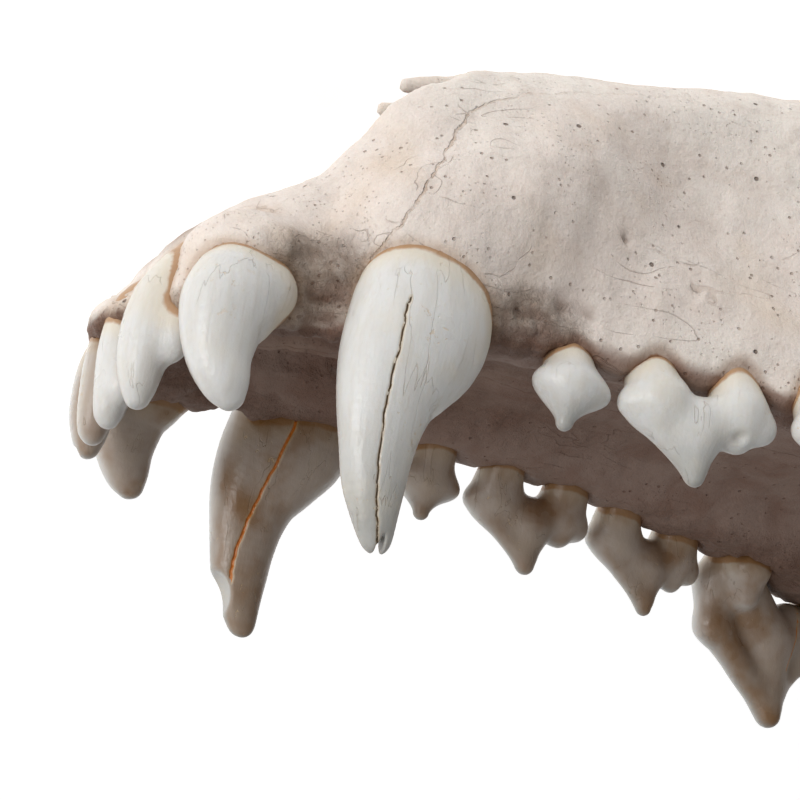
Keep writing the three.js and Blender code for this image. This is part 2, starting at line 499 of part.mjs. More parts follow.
// ---- Fewer facets: the edge whose loss changes the surface least is drawn together, again and
// again, for as long as the surface stays closed and no facet turns over
function simplify({ points, faces }, target, keep = () => 1) {
  const P = Float64Array.from(points), F = Int32Array.from(faces), nv = P.length / 3, nf = F.length / 3;
  const Q = new Float64Array(nv * 10), around = Array.from({ length: nv }, () => []);
  const alive = new Uint8Array(nf).fill(1), stamp = new Int32Array(nv);
  const normal = (a, b, c) => {
    const u = [P[3 * b] - P[3 * a], P[3 * b + 1] - P[3 * a + 1], P[3 * b + 2] - P[3 * a + 2]];
    const v = [P[3 * c] - P[3 * a], P[3 * c + 1] - P[3 * a + 1], P[3 * c + 2] - P[3 * a + 2]];
    return [u[1] * v[2] - u[2] * v[1], u[2] * v[0] - u[0] * v[2], u[0] * v[1] - u[1] * v[0]];
  };
  for (let f = 0; f < nf; f += 1) {
    const [a, b, c] = [F[3 * f], F[3 * f + 1], F[3 * f + 2]];
    const m = normal(a, b, c), length = Math.hypot(...m) || 1e-12;
    const [x, y, z] = m.map((v) => v / length), d = -(x * P[3 * a] + y * P[3 * a + 1] + z * P[3 * a + 2]);
    const w = length * keep(P[3 * a], P[3 * a + 1], P[3 * a + 2]);
    const q = [x * x, x * y, x * z, x * d, y * y, y * z, y * d, z * z, z * d, d * d];
    for (const v of [a, b, c]) {
      around[v].push(f);
      for (let i = 0; i < 10; i += 1) Q[10 * v + i] += q[i] * w;
    }
  }
  const heap = [];
  const push = (item) => {
    let i = heap.length;
    heap.push(item);
    while (i > 0) {
      const up = (i - 1) >> 1;
      if (heap[up].cost <= item.cost) break;
      heap[i] = heap[up];
      i = up;
    }
    heap[i] = item;
  };
  const pop = () => {
    const top = heap[0], last = heap.pop();
    if (heap.length) {
      let i = 0;
      for (;;) {
        let kid = 2 * i + 1;
        if (kid >= heap.length) break;
        if (kid + 1 < heap.length && heap[kid + 1].cost < heap[kid].cost) kid += 1;
        if (heap[kid].cost >= last.cost) break;
        heap[i] = heap[kid];
        i = kid;
      }
      heap[i] = last;
    }
    return top;
  };
  const error = (q, x, y, z) => q[0] * x * x + 2 * q[1] * x * y + 2 * q[2] * x * z + 2 * q[3] * x
    + q[4] * y * y + 2 * q[5] * y * z + 2 * q[6] * y + q[7] * z * z + 2 * q[8] * z + q[9];
  const consider = (a, b) => {
    const q = [];
    for (let i = 0; i < 10; i += 1) q.push(Q[10 * a + i] + Q[10 * b + i]);
    const options = [];
    const det = q[0] * (q[4] * q[7] - q[5] * q[5]) - q[1] * (q[1] * q[7] - q[5] * q[2]) + q[2] * (q[1] * q[5] - q[4] * q[2]);
    const scale = (q[0] + q[4] + q[7]) ** 3;
    const mid = [0, 1, 2].map((c) => (P[3 * a + c] + P[3 * b + c]) / 2);
    const reach = Math.hypot(...[0, 1, 2].map((c) => P[3 * a + c] - P[3 * b + c]));
    if (Math.abs(det) > 1e-4 * scale) {
      const r = [-q[3], -q[6], -q[8]];
      const x = (r[0] * (q[4] * q[7] - q[5] * q[5]) - q[1] * (r[1] * q[7] - q[5] * r[2]) + q[2] * (r[1] * q[5] - q[4] * r[2])) / det;
      const y = (q[0] * (r[1] * q[7] - q[5] * r[2]) - r[0] * (q[1] * q[7] - q[5] * q[2]) + q[2] * (q[1] * r[2] - r[1] * q[2])) / det;
      const z = (q[0] * (q[4] * r[2] - r[1] * q[5]) - q[1] * (q[1] * r[2] - r[1] * q[2]) + r[0] * (q[1] * q[5] - q[4] * q[2])) / det;
      if (Math.hypot(x - mid[0], y - mid[1], z - mid[2]) < 1.5 * reach) options.push([x, y, z]);
    }
    options.push(mid, [P[3 * a], P[3 * a + 1], P[3 * a + 2]], [P[3 * b], P[3 * b + 1], P[3 * b + 2]]);
    let best = null, cost = Infinity;
    for (const o of options) {
      const v = error(q, ...o);
      if (v < cost - 1e-12) { cost = v; best = o; }
    }
    push({ cost: Math.max(cost, 0) + 1e-7 * reach * reach, a, b, at: best, sa: stamp[a], sb: stamp[b] });
  };
  for (let f = 0; f < nf; f += 1) for (let e = 0; e < 3; e += 1) {
    const a = F[3 * f + e], b = F[3 * f + (e + 1) % 3];
    if (a < b) consider(a, b);
  }
  let left = nf;
  const ring = (v) => {
    const s = new Set();
    for (const f of around[v]) for (let e = 0; e < 3; e += 1) if (F[3 * f + e] !== v) s.add(F[3 * f + e]);
    return s;
  };
  const longestEdge = (t) => Math.max(...[0, 1, 2].map((e) => Math.hypot(
    P[3 * t[e]] - P[3 * t[(e + 1) % 3]], P[3 * t[e] + 1] - P[3 * t[(e + 1) % 3] + 1], P[3 * t[e] + 2] - P[3 * t[(e + 1) % 3] + 2])));
  const turns = (v, other, at) => {
    for (const f of around[v]) {
      const t = [F[3 * f], F[3 * f + 1], F[3 * f + 2]];
      if (t.includes(other)) continue;
      const before = normal(...t), widest = longestEdge(t);
      const old = [P[3 * v], P[3 * v + 1], P[3 * v + 2]];
      [P[3 * v], P[3 * v + 1], P[3 * v + 2]] = at;
      const after = normal(...t), longest = longestEdge(t);
      [P[3 * v], P[3 * v + 1], P[3 * v + 2]] = old;
      const la = Math.hypot(...before), lb = Math.hypot(...after);
      const dot = before[0] * after[0] + before[1] * after[1] + before[2] * after[2];
      const shape = lb / longest ** 2;
      if ((shape < 0.05 && shape < la / widest ** 2) || (la > 1e-4 && dot < 0.3 * la * lb)) return true;
    }
    return false;
  };
  while (left > target && heap.length) {
    const { a, b, at, sa, sb } = pop();
    if (stamp[a] !== sa || stamp[b] !== sb || !around[a].length || !around[b].length) continue;
    const ra = ring(a), rb = ring(b);
    let shared = 0;
    for (const v of ra) if (rb.has(v)) shared += 1;
    if (shared !== 2 || turns(a, b, at) || turns(b, a, at)) continue;
    [P[3 * a], P[3 * a + 1], P[3 * a + 2]] = at;
    for (let i = 0; i < 10; i += 1) Q[10 * a + i] += Q[10 * b + i];
    for (const f of around[b]) {
      const t = [F[3 * f], F[3 * f + 1], F[3 * f + 2]];
      if (t.includes(a)) {
        alive[f] = 0;
        left -= 1;
        for (const v of t) if (v !== b) around[v] = around[v].filter((g) => g !== f);
      } else {
        for (let e = 0; e < 3; e += 1) if (F[3 * f + e] === b) F[3 * f + e] = a;
        around[a].push(f);
      }
    }
    around[b] = [];
    stamp[a] += 1;
    stamp[b] += 1;
    for (const v of ring(a)) consider(a, v);
  }
  const kept = [], index = new Map(), out = [];
  for (let f = 0; f < nf; f += 1) if (alive[f]) for (let e = 0; e < 3; e += 1) {
    const v = F[3 * f + e];
    if (!index.has(v)) { index.set(v, index.size); out.push(P[3 * v], P[3 * v + 1], P[3 * v + 2]); }
    kept.push(index.get(v));
  }
  return { points: out, faces: kept };
}

// ---- Joining
const wasm = await Module();
wasm.setup();

function solid({ points, faces }, mirrored = false) {
  const at = Float32Array.from(points), tris = Uint32Array.from(faces);
  if (mirrored) {
    for (let p = 1; p < at.length; p += 3) at[p] = -at[p];
    for (let f = 0; f < tris.length; f += 3) [tris[f], tris[f + 1]] = [tris[f + 1], tris[f]];
  }
  return new wasm.Manifold(new wasm.Mesh({ numProp: 3, vertProperties: at, triVerts: tris }));
}

const bone = simplify(
  surface(boneDistance(), [-9, -ARCH_HALF - 7, -14], [TOTAL_LENGTH + 7, ARCH_HALF + 7, CREST_TOP + 9], BONE_GRID),
  BONE_TRIANGLES, (x) => (x < 50 ? 2.5 : 1));
let skull = solid(bone);
for (const [name, width, ...forms] of TEETH) {
  const low = [Infinity, Infinity, Infinity], high = [-Infinity, -Infinity, -Infinity];
  for (const [kind, ...sizes] of forms) {
    reachOf(kind, sizes).forEach(([a, b], i) => {
      low[i] = Math.min(low[i], a - 2);
      high[i] = Math.max(high[i], b + 2);
    });
  }
  const tooth = simplify(surface(toothDistance(width, forms), low, high, TOOTH_GRID), TOOTH_TRIANGLES[name]);
  skull = skull.add(solid(tooth)).add(solid(tooth, true));
}

const joined = skull.getMesh();
const geometry = new THREE.BufferGeometry();
geometry.setAttribute('position', new THREE.BufferAttribute(new Float32Array(joined.vertProperties), 3));
geometry.setIndex(new THREE.BufferAttribute(new Uint32Array(joined.triVerts), 1));

const cranium = new THREE.Mesh(
  mergeVertices(geometry, 1e-4),
  new THREE.MeshStandardMaterial({ color: 0xd9cdc1, roughness: 0.72, metalness: 0 }));
cranium.name = 'cranium';

const wolfSkull = new THREE.Group();
wolfSkull.add(cranium);
wolfSkull.quaternion.set(...REST_TURN);
wolfSkull.position.set(...REST_SHIFT);

export default wolfSkull;
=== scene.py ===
# Wolf cranium with its upper teeth, life size, lying on its right cheek and forehead.
import bpy
import math
import numpy as np
from mathutils import Matrix, Vector


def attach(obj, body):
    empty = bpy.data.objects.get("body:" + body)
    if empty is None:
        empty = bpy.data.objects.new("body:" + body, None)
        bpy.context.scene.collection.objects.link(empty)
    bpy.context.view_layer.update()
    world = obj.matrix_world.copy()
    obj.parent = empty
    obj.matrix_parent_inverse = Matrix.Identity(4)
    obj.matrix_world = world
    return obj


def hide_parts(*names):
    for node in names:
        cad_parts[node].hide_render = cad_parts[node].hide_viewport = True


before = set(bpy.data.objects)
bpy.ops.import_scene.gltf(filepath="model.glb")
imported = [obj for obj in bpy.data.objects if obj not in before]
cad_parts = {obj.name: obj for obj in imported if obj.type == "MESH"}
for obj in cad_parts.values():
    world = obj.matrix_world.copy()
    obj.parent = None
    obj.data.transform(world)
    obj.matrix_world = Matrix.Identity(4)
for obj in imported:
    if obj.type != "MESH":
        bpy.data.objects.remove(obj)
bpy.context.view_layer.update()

# The shapes below are given in the animal's own axes, in millimetres: x runs back from the front
# of the premaxilla, y to the animal's right, z up from the tooth sockets.
# ---- Driving dimensions, in millimetres. The modelling axes are the animal's own: x runs back
# from the front of the premaxilla, y runs out to either side (both sides are mirror images), and
# z runs up from the rims of the tooth sockets.
TOTAL_LENGTH = 268          # front of the premaxilla to the back of the nuchal crest
CONDYLE_X = 247             # back of the occipital condyles
ARCH_HALF = 70              # half the width across the zygomatic arches
PROCESS_HALF = 32           # half the width across the postorbital processes
WAIST_HALF = 20.5           # half the postorbital constriction
BRAINCASE_HALF = 33         # half the width of the braincase
MASTOID_HALF = 42           # half the width across the mastoids
SNOUT_HALF = 20.5           # half the width of the muzzle just behind the canines
MOLAR_HALF = 39             # half the width of the upper jaw at the first molar
FRONTAL_TOP = 70            # height of the forehead
CREST_TOP = 75              # height of the sagittal crest
NASAL_TIP_X = 27.6          # front of the nasal bones
PALATE_RISE = 5             # height of the palate vault above the sockets
ORBIT_RADIUS = 19.5
CANINE_X = 26.5             # canine crown, at its neck
CANINE_TIP_Z = -22.7

# ---- Lofts: [x, bottom z, top z, half-width at the bottom, half-way up, at the top]
MUZZLE = [
  [-1.2, 0.4, 3, 6, 5.6, 5],
  [1, -0.4, 4.6, 8.8, 8.2, 7.2],
  [5, -1.6, 9.7, 13.4, 12.8, 11],
  [11, -1.7, 14.5, 16.2, 15.2, 12.8],
  [17, -0.8, 19.6, 17, 16.2, 13.4],
  [20, -0.5, 24.6, 17.8, 16.8, 12.8],
  [24, -0.2, 31.8, 19, 18.2, 11.8],
  [28, 0.2, 36.2, 19.6, 19.2, 10.8],
  [36, 1.4, 38.1, 19.8, 20, 10.6],
  [46, 2, 40.1, SNOUT_HALF, 19.6, 11.4],
  [60, 1.8, 42.6, 22.2, 20, 12],
  [76, 0.8, 45.7, 25.6, 22.2, 12.4],
  [92, -0.2, 48, 31, 26.4, 13.6],
  [106, -0.6, 51.6, 36.5, 32.5, 16.4],
  [118, -0.6, 55, MOLAR_HALF, 36, 16.5],
  [130, 0.8, 58, 35, 36, 17]]
SKULL_BASE = [
  [104, 3, 52, 15, 17, 17],
  [122, 2, 57, 14.5, 16.5, 15],
  [140, 0, 60, 13.2, 16.5, 14],
  [158, -1, 63, 12, 16, 14],
  [174, -1, 67, 12, 18, 17],
  [184, 5, 67, 14, 21, 9],
  [200, 8, 62, 17, 27, 10],
  [226, 8, 56, 17, 28, 12],
  [243, 8, 50, 13, 24, 10]]
NASAL_CAVITY = [
  [5.5, 9.6, 60, 3.5, 4, 4],
  [10, 9.2, 60, 6.5, 7.4, 8],
  [16, 9, 60, 8.4, 10, 10.6],
  [22, 9, 62, 9.2, 11.2, 10.2],
  [27, 9, 64, 9.6, 12, 9],
  [31, 9.4, 44, 9.6, 12.6, 7.6],
  [36, 10, 36.4, 9.6, 12.6, 7.6],
  [50, 12, 36, 8, 11, 6],
  [62, 16, 32, 4, 6, 3]]
PALATE_VAULT = [
  [9, -20, 0, 7, 7, 5],
  [15, -20, PALATE_RISE - 2.5, 11, 11, 8],
  [28, -20, PALATE_RISE - 1.2, 13.6, 13.6, 10],
  [50, -20, PALATE_RISE, 14.5, 14.5, 11],
  [75, -20, PALATE_RISE + 0.4, 17, 17, 13],
  [98, -20, PALATE_RISE + 0.8, 21, 21, 16],
  [116, -20, PALATE_RISE + 1.4, 24.5, 24.5, 18],
  [136, -20, PALATE_RISE + 3, 26, 26, 19]]
CHOANA = [
  [119, -20, 9, 7.5, 7.5, 6],
  [126, -20, 14, 9, 9, 7.5],
  [150, -20, 15.5, 8.8, 8.8, 7.5],
  [172, -20, 14.5, 8.6, 8.6, 7],
  [188, -20, 9.5, 9.5, 9.5, 8],
  [200, -20, 6.5, 11, 11, 9]]
BASIN = [
  [176, 8.5, 24, 10, 12, 12],
  [200, 8, 24, 10.5, 12, 12],
  [225, 8.5, 24, 12.5, 14, 14],
  [243, 10, 24, 15, 16, 14]]

# ---- Strips: [x, y, z, half-height, half-thickness] along the middle of a blade of bone
ZYGOMATIC_ARCH = [
  [104, 33, 16, 11, 7],
  [117, 43, 16.5, 10.5, 6.5],
  [130, 51, 19.5, 9.2, 4.8],
  [146, ARCH_HALF - 12.2, 24.5, 8.4, 3.8],
  [162, ARCH_HALF - 6.6, 29.5, 7.6, 3.3],
  [175, ARCH_HALF - 2.6, 31.5, 6.8, 3],
  [187, ARCH_HALF - 2.8, 30, 6.4, 3.2],
  [197, ARCH_HALF - 7.6, 27, 6.4, 4.2],
  [204, 52, 25, 6, 6],
  [207, 43, 25, 6, 6.5]]
NUCHAL_CREST = [
  [TOTAL_LENGTH - 4.5, 0, CREST_TOP - 4.5, 4, 3.6],
  [TOTAL_LENGTH - 7, 10, CREST_TOP - 9, 3.6, 3.4],
  [TOTAL_LENGTH - 14, 23, CREST_TOP - 19, 4, 3],
  [TOTAL_LENGTH - 24, 35, 42, 4.6, 3],
  [TOTAL_LENGTH - 33, MASTOID_HALF - 3.4, 29, 5, 3],
  [TOTAL_LENGTH - 38, MASTOID_HALF - 3, 19, 5, 3.6]]
SAGITTAL_CREST = [
  [180, 0, FRONTAL_TOP - 4, 4, 2.6],
  [192, 0, 68, 6, 2.3],
  [210, 0, 68.5, 6.5, 2.1],
  [230, 0, 68, 6.5, 2],
  [248, 0, 66.5, 7, 2.2],
  [TOTAL_LENGTH - 4, 0, 67, 6, 3]]

# ---- The bone: each row joins ("add") or takes away ("cut") one form, blended over the given
# width. The forms: "loft" of the rows above with the rounding of its long edges "ball" with its
# centre, radii and turns about x, y and z in degrees "cone" between two points with a radius at
# each "strip" along the rows above "horn" along rows of x, y, z and radius, with its width as
# a share of its length.
BONE = [
  ["add", 1, "loft", MUZZLE, 8, 2.2],
  ["add", 5, "loft", SKULL_BASE, 6, 3],
  # swellings over the roots of the canine, and the hollows before and behind it
  ["add", 8, "cone", [31.5, 16.2, 11], 6.2, [46, 14.5, 23], 5.5],
  ["add", 3, "ball", [29, 17.6, 12.5], [8, 5, 6], [0, 0, 0]],
  ["add", 2.5, "ball", [10.8, 14, 6.8], [5.2, 3.7, 4], [0, 0, 30]],
  ["cut", 3, "ball", [18, 22, 1.4], [3.9, 7, 6], [0, 0, 14]],
  ["cut", 9, "ball", [64, 32, 25], [20, 13, 14], [0, 0, 8]],
  # cheek and the root of the arch above the molars
  ["add", 10, "ball", [110, 26, 16], [22, 13, 14], [0, 0, 20]],
  ["add", 7, "strip", ZYGOMATIC_ARCH],
  # front wall and rim of the orbit
  ["add", 7, "cone", [117, 17, 46], 9, [122, 35, 29], 9],
  ["add", 5, "cone", [122, 36, 30], 7, [132, 50, 26], 5],
  ["cut", 5, "ball", [99, 40, 30], [14, 11, 12], [0, 20, 25]],
  # forehead: two domes with a shallow valley between, and the postorbital processes
  ["add", 9, "ball", [142, 8.5, 56.5], [29, 11, 9.6], [-24, -9, 0]],
  ["add", 8, "ball", [161, 9.5, 60.5], [18, 12.5, 8.8], [-26, 0, 0]],
  ["add", 7, "cone", [158, 19, 58.5], 5, [167.5, PROCESS_HALF - 2, 54.5], 2.4],
  # braincase, its waist and the crest along its top
  ["add", 8, "ball", [212, 0, 37], [43, BRAINCASE_HALF, 27.5], [0, 4, 0]],
  ["add", 8, "ball", [182, 0, 48], [20, WAIST_HALF, 20], [0, 0, 0]],
  ["add", 5, "cone", [165, 28, 57.5], 1.8, [186, 3, 68.5], 2],
  ["add", 7, "strip", SAGITTAL_CREST],
  # back of the skull
  ["add", 7, "ball", [244, 0, 40], [10, 31, 28], [0, 24, 0]],
  ["add", 5, "strip", NUCHAL_CREST],
  ["add", 5, "cone", [TOTAL_LENGTH - 4, 0, 66], 3.4, [CONDYLE_X + 2, 0, 32], 3],
  ["add", 3, "loft", BASIN, 5, 3],
  ["add", 5, "ball", [232, 30, 22], [10, 12, 13], [0, 0, 0]],
  ["add", 4, "ball", [234, 31, 36], [9, 8, 10], [0, 24, 0]],
  ["add", 3, "ball", [CONDYLE_X - 8, 14, 15.5], [9, 8.4, 11], [20, 24, 14]],
  ["add", 4, "cone", [232, 31.5, 15], 5.4, [238.5, 31, -5.5], 2.2],
  ["cut", 3, "cone", [CONDYLE_X + 12, 0, 21], 9.2, [228, 0, 20.5], 8.6],
  ["cut", 4, "cone", [230, 0, 24], 10, [196, 0, 36], 12.5],
  # middle ear: bulla, mouth of the ear canal, mastoid
  ["add", 2.5, "ball", [210, 18.5, 7], [13.6, 9.6, 9.2], [0, 0, -16]],
  ["add", 4, "cone", [212, 24, 13], 6.4, [213.5, 32, 15], 5.4],
  ["cut", 1.5, "cone", [213, 27, 14.5], 2.6, [214, 44, 16], 3.6],
  ["add", 4, "ball", [229, MASTOID_HALF - 4, 19], [7, 5, 8.5], [0, 0, 0]],
  # jaw joint: shelf, hollow for the jaw's head and the wall behind it
  ["add", 6, "ball", [198, 40, 23], [13, 22, 6.4], [0, 0, 0]],
  ["add", 3.5, "ball", [203, 48, 13], [3.6, 11.5, 8], [0, 12, -6]],
  ["cut", 4, "cone", [192.5, 36, 8.5], 8.4, [192.5, 64, 9.5], 8.4],
  # processes on the arch
  ["add", 5, "cone", [152, ARCH_HALF - 11, 32], 3.6, [157, ARCH_HALF - 10.5, 39], 2],
  # hollows: palate, passage behind it, orbit and temple, nose
  ["cut", 5, "loft", PALATE_VAULT, 5, 4],
  ["cut", 2.5, "loft", CHOANA, 4, 4],
  ["add", 2.5, "cone", [162, 11.6, 2], 2.2, [176, 12.6, -5], 1.5],
  ["cut", 4, "ball", [142, 38, 41], [ORBIT_RADIUS, ORBIT_RADIUS + 1, ORBIT_RADIUS - 1], [0, 0, 20]],
  ["cut", 5, "ball", [152, 38, 20], [20, 18.5, 15], [0, 0, 24]],
  ["cut", 2, "loft", NASAL_CAVITY, 4, 3],
  # tips of the nasal bones, two to a side, over the opening
  ["add", 1.6, "cone", [NASAL_TIP_X + 0.7, 3.4, 34.8], 0.7, [40, 3.6, 37.3], 2.1],
  ["add", 1.6, "cone", [NASAL_TIP_X + 9.4, 6.4, 35.2], 1, [43, 6.4, 36.6], 1.8],
  # floor of the nose, and the septum's rib
  ["add", 2.5, "cone", [14, 0, 7.6], 1.6, [60, 0, 12], 2.2],
  # openings: incisive, infraorbital, orbital, palatine
  ["cut", 1.6, "cone", [17.5, 4, 3], 2, [30, 4.8, 4], 2.6],
  ["cut", 2, "cone", [88, 36, 18.5], 4.4, [101, 25, 21], 2.8],
  ["cut", 1, "cone", [172, 28, 26], 2.2, [178, 12, 25], 1.8],
  ["cut", 1, "cone", [164, 26, 31], 1.8, [170, 10, 31], 1.4],
  ["cut", 1, "cone", [122, 40, 43], 1.6, [112, 30, 40], 1.2]]

# ---- The teeth of one side: each a few forms, blended over the given width.
TEETH = [
  ["incisor_1", 1.4,
    ["horn", [[6.4, 2.9, 6, 1.8], [3.6, 3, 2, 2.5], [2.9, 3.1, -2, 2.65], [2.4, 3.2, -6, 2.1],
      [2.3, 3.2, -8.8, 1.6], [2.4, 3.2, -9.7, 1.2]], 1.05],
    ["ball", [5, 3.1, -1.5], [2.4, 2.1, 2.4], [0, 0, 0]],
    ["ball", [2.9, 5.1, -6.6], [1.2, 1.1, 1.8], [0, 0, 0]]],
  ["incisor_2", 1.5,
    ["horn", [[7, 8, 7, 1.9], [5, 8.6, 3, 2.7], [4, 9.2, -1, 3.05], [3.4, 9.7, -5, 2.5],
      [3.4, 9.8, -7.6, 1.9], [3.5, 9.8, -9.1, 1.3]], 1.04],
    ["ball", [5.8, 11.8, -2.6], [1.6, 1.7, 2.9], [0, 0, -30]],
    ["ball", [6.6, 8.9, -1], [2.6, 2.3, 2.5], [0, 0, -20]]],
  ["incisor_3", 1.6,
    ["horn", [[13.6, 12, 9, 3], [11, 13.8, 4.6, 3.7], [9.9, 15.7, 1.1, 4.9], [8.9, 16.6, -1.6, 4.3],
      [8.9, 17.3, -5.4, 3.35], [9.7, 17.9, -8.1, 2.5], [10.4, 18.1, -9.6, 1.6]], 0.86],
    ["ball", [13.2, 15.4, 2.6], [3.2, 2.8, 3.2], [0, 0, -20]]],
  ["canine", 2,
    ["horn", [[35, 14.5, 15, 4], [31, 16.8, 9.6, 5.6], [28.7, 18.5, 4.6, 6.9], [27.9, 19.4, 0.8, 7.2],
      [26.55, 20.2, -2.4, 6.45], [25.3, 20.7, -5.6, 5.3], [24.75, 21, -8.9, 4.45], [24.65, 21.2, -12.6, 3.7],
      [24.8, 21.3, -15.6, 3.2], [25.2, 21.3, -18.2, 2.5], [25.75, 21.2, -20.8, 1.7], [25.95, 21.1, -21.4, 1.35]], 0.75]],
  ["premolar_1", 1.2,
    ["cone", [44.6, 16.8, 5], 2.2, [44.5, 19.4, -0.6], 2.9],
    ["ball", [44.6, 19.6, -0.9], [4.1, 2.7, 2.1], [0, 6, 6]],
    ["cone", [44.4, 19.6, -1.8], 2.0, [44.3, 19.5, -4.6], 0.9]],
  ["premolar_2", 1.3,
    ["cone", [53.4, 17.4, 6], 2.2, [53.3, 20.6, -0.2], 3.1],
    ["cone", [62, 18.8, 6], 2.2, [62.1, 21.8, 0], 3.1],
    ["cone", [54.4, 21.1, -0.8], 2.7, [58, 21.2, -3.2], 2.4],
    ["cone", [58, 21.2, -3.2], 2.5, [58.2, 21.1, -7.6], 0.95],
    ["cone", [50.8, 20.5, -1.2], 1.3, [57.8, 21.1, -6.6], 1.0],
    ["cone", [58.3, 21.4, -1.6], 2.3, [62, 21.9, -1.2], 2.5],
    ["cone", [62, 22, -1.5], 1.5, [62.2, 21.8, -3.2], 1.0],
    ["ball", [64.6, 22.4, -1.4], [1.4, 1.4, 1.5], [0, 0, 0]]],
  ["premolar_3", 1.3,
    ["cone", [70.2, 21, 6], 2.2, [70.4, 24.6, 0], 3],
    ["cone", [79, 23.6, 6], 2.2, [79.2, 26.8, 0.2], 3.2],
    ["cone", [71.6, 25.2, -0.9], 2.6, [75.6, 26.2, -3.4], 2.4],
    ["cone", [75.6, 26.2, -3.4], 2.4, [76, 26.3, -7.9], 0.9],
    ["cone", [68.2, 24.6, -1.2], 1.2, [75.6, 26, -6.8], 0.9],
    ["cone", [75.8, 26.2, -1.8], 2.3, [79.4, 27, -1.6], 2.5],
    ["cone", [79.4, 27, -1.6], 1.6, [79.6, 27, -3.9], 0.9],
    ["ball", [82, 27.6, -1.8], [1.3, 1.4, 1.6], [0, 0, 0]]],
  ["carnassial", 1.6,
    ["cone", [89, 26.4, 7], 2.6, [88.6, 30, -0.6], 3.9],
    ["cone", [89, 25.4, 5], 2, [89.2, 25.8, 0.2], 2.6],
    ["cone", [104.5, 32, 7], 2.8, [104.2, 35, -0.6], 3.9],
    ["cone", [89.6, 30.3, -1.5], 3.8, [95.6, 33, -6.4], 3.6],
    ["cone", [95.6, 33, -6.4], 3.6, [97.6, 33.7, -15.5], 1.45],
    ["cone", [86.4, 29.6, -1.6], 2.4, [87, 30, -6.8], 2],
    ["cone", [87, 30, -6.8], 2, [96.8, 33.5, -14.4], 1.5],
    ["cone", [89.2, 26, -0.5], 2.2, [89.6, 26.6, -3.2], 1.3],
    ["cone", [99, 33.8, -4], 3.1, [106.6, 36, -5], 2.7],
    ["cone", [101, 34.4, -7.2], 1.4, [108.6, 36.6, -8.2], 1.1],
    ["cone", [98.4, 34, -12], 1.2, [101.4, 34.6, -8], 1.3]],
  ["molar_1", 1.8,
    ["cone", [113, 38, 6], 2.6, [113.4, 38.2, -0.6], 3.4],
    ["cone", [120.6, 37, 6], 2.4, [120.4, 37.2, -0.6], 3.1],
    ["cone", [117.6, 26, 6], 2.8, [117.6, 26.4, 0.4], 3.6],
    ["cone", [113.6, 37.8, -1.4], 2.9, [114, 37, -6.8], 1.1],
    ["cone", [120.2, 36.8, -1.2], 2.6, [120, 36.2, -5.6], 1.0],
    ["ball", [116.8, 37.2, -1.6], [6.8, 4, 2.8], [0, 0, -8]],
    ["ball", [117.2, 29.6, -0.4], [5.4, 7.4, 2.6], [0, 0, -8]],
    ["cone", [116.2, 28.6, -1.4], 2.0, [116.4, 29, -3.8], 1.1],
    ["ball", [117.8, 24.4, -1], [3.6, 2.2, 2.2], [0, 0, 0]]],
  ["molar_2", 1.4,
    ["cone", [127.4, 31, 6], 2.4, [127.4, 31.2, -0.4], 2.8],
    ["ball", [127.6, 29.2, -0.8], [3.8, 6.4, 2.4], [0, 0, -6]],
    ["cone", [126.2, 32, -1.4], 1.6, [126.4, 31.8, -3.6], 0.9],
    ["cone", [129, 31.4, -1.2], 1.4, [129, 31.2, -3], 0.8],
    ["ball", [127.6, 25.8, -1.2], [2.4, 1.8, 1.6], [0, 0, 0]]]]


# ---- Signed distances of the forms
STEP = 0.5


def hermite_rows(rows, at):
    """A smooth curve through rows, whose first number is the parameter."""
    i = 0
    while i < len(rows) - 2 and at > rows[i + 1][0]:
        i += 1
    a, b = np.array(rows[i], float), np.array(rows[i + 1], float)
    before = np.array(rows[max(i - 1, 0)], float)
    after = np.array(rows[min(i + 2, len(rows) - 1)], float)
    h = b[0] - a[0]
    t = min(max((at - a[0]) / h, 0.0), 1.0)
    t2, t3 = t * t, t * t * t
    ma = (b - before) / (b[0] - before[0]) * h
    mb = (after - a) / (after[0] - a[0]) * h
    return (2 * t3 - 3 * t2 + 1) * a + (t3 - 2 * t2 + t) * ma + (3 * t2 - 2 * t3) * b + (t3 - t2) * mb


def smax(a, b, k):
    h = np.maximum(k - np.abs(a - b), 0) / k
    return np.maximum(a, b) + h * h * (k / 4)


def smin(a, b, k):
    return -smax(-a, -b, k)


def turn_matrix(turns):
    """Rows of the inverse of the turn about x, then y, then z (degrees)."""
    r, p, w = [math.radians(t) for t in turns]
    rx = np.array([[1, 0, 0], [0, math.cos(r), -math.sin(r)], [0, math.sin(r), math.cos(r)]])
    ry = np.array([[math.cos(p), 0, math.sin(p)], [0, 1, 0], [-math.sin(p), 0, math.cos(p)]])
    rz = np.array([[math.cos(w), -math.sin(w), 0], [math.sin(w), math.cos(w), 0], [0, 0, 1]])
    return (rz @ ry @ rx).T


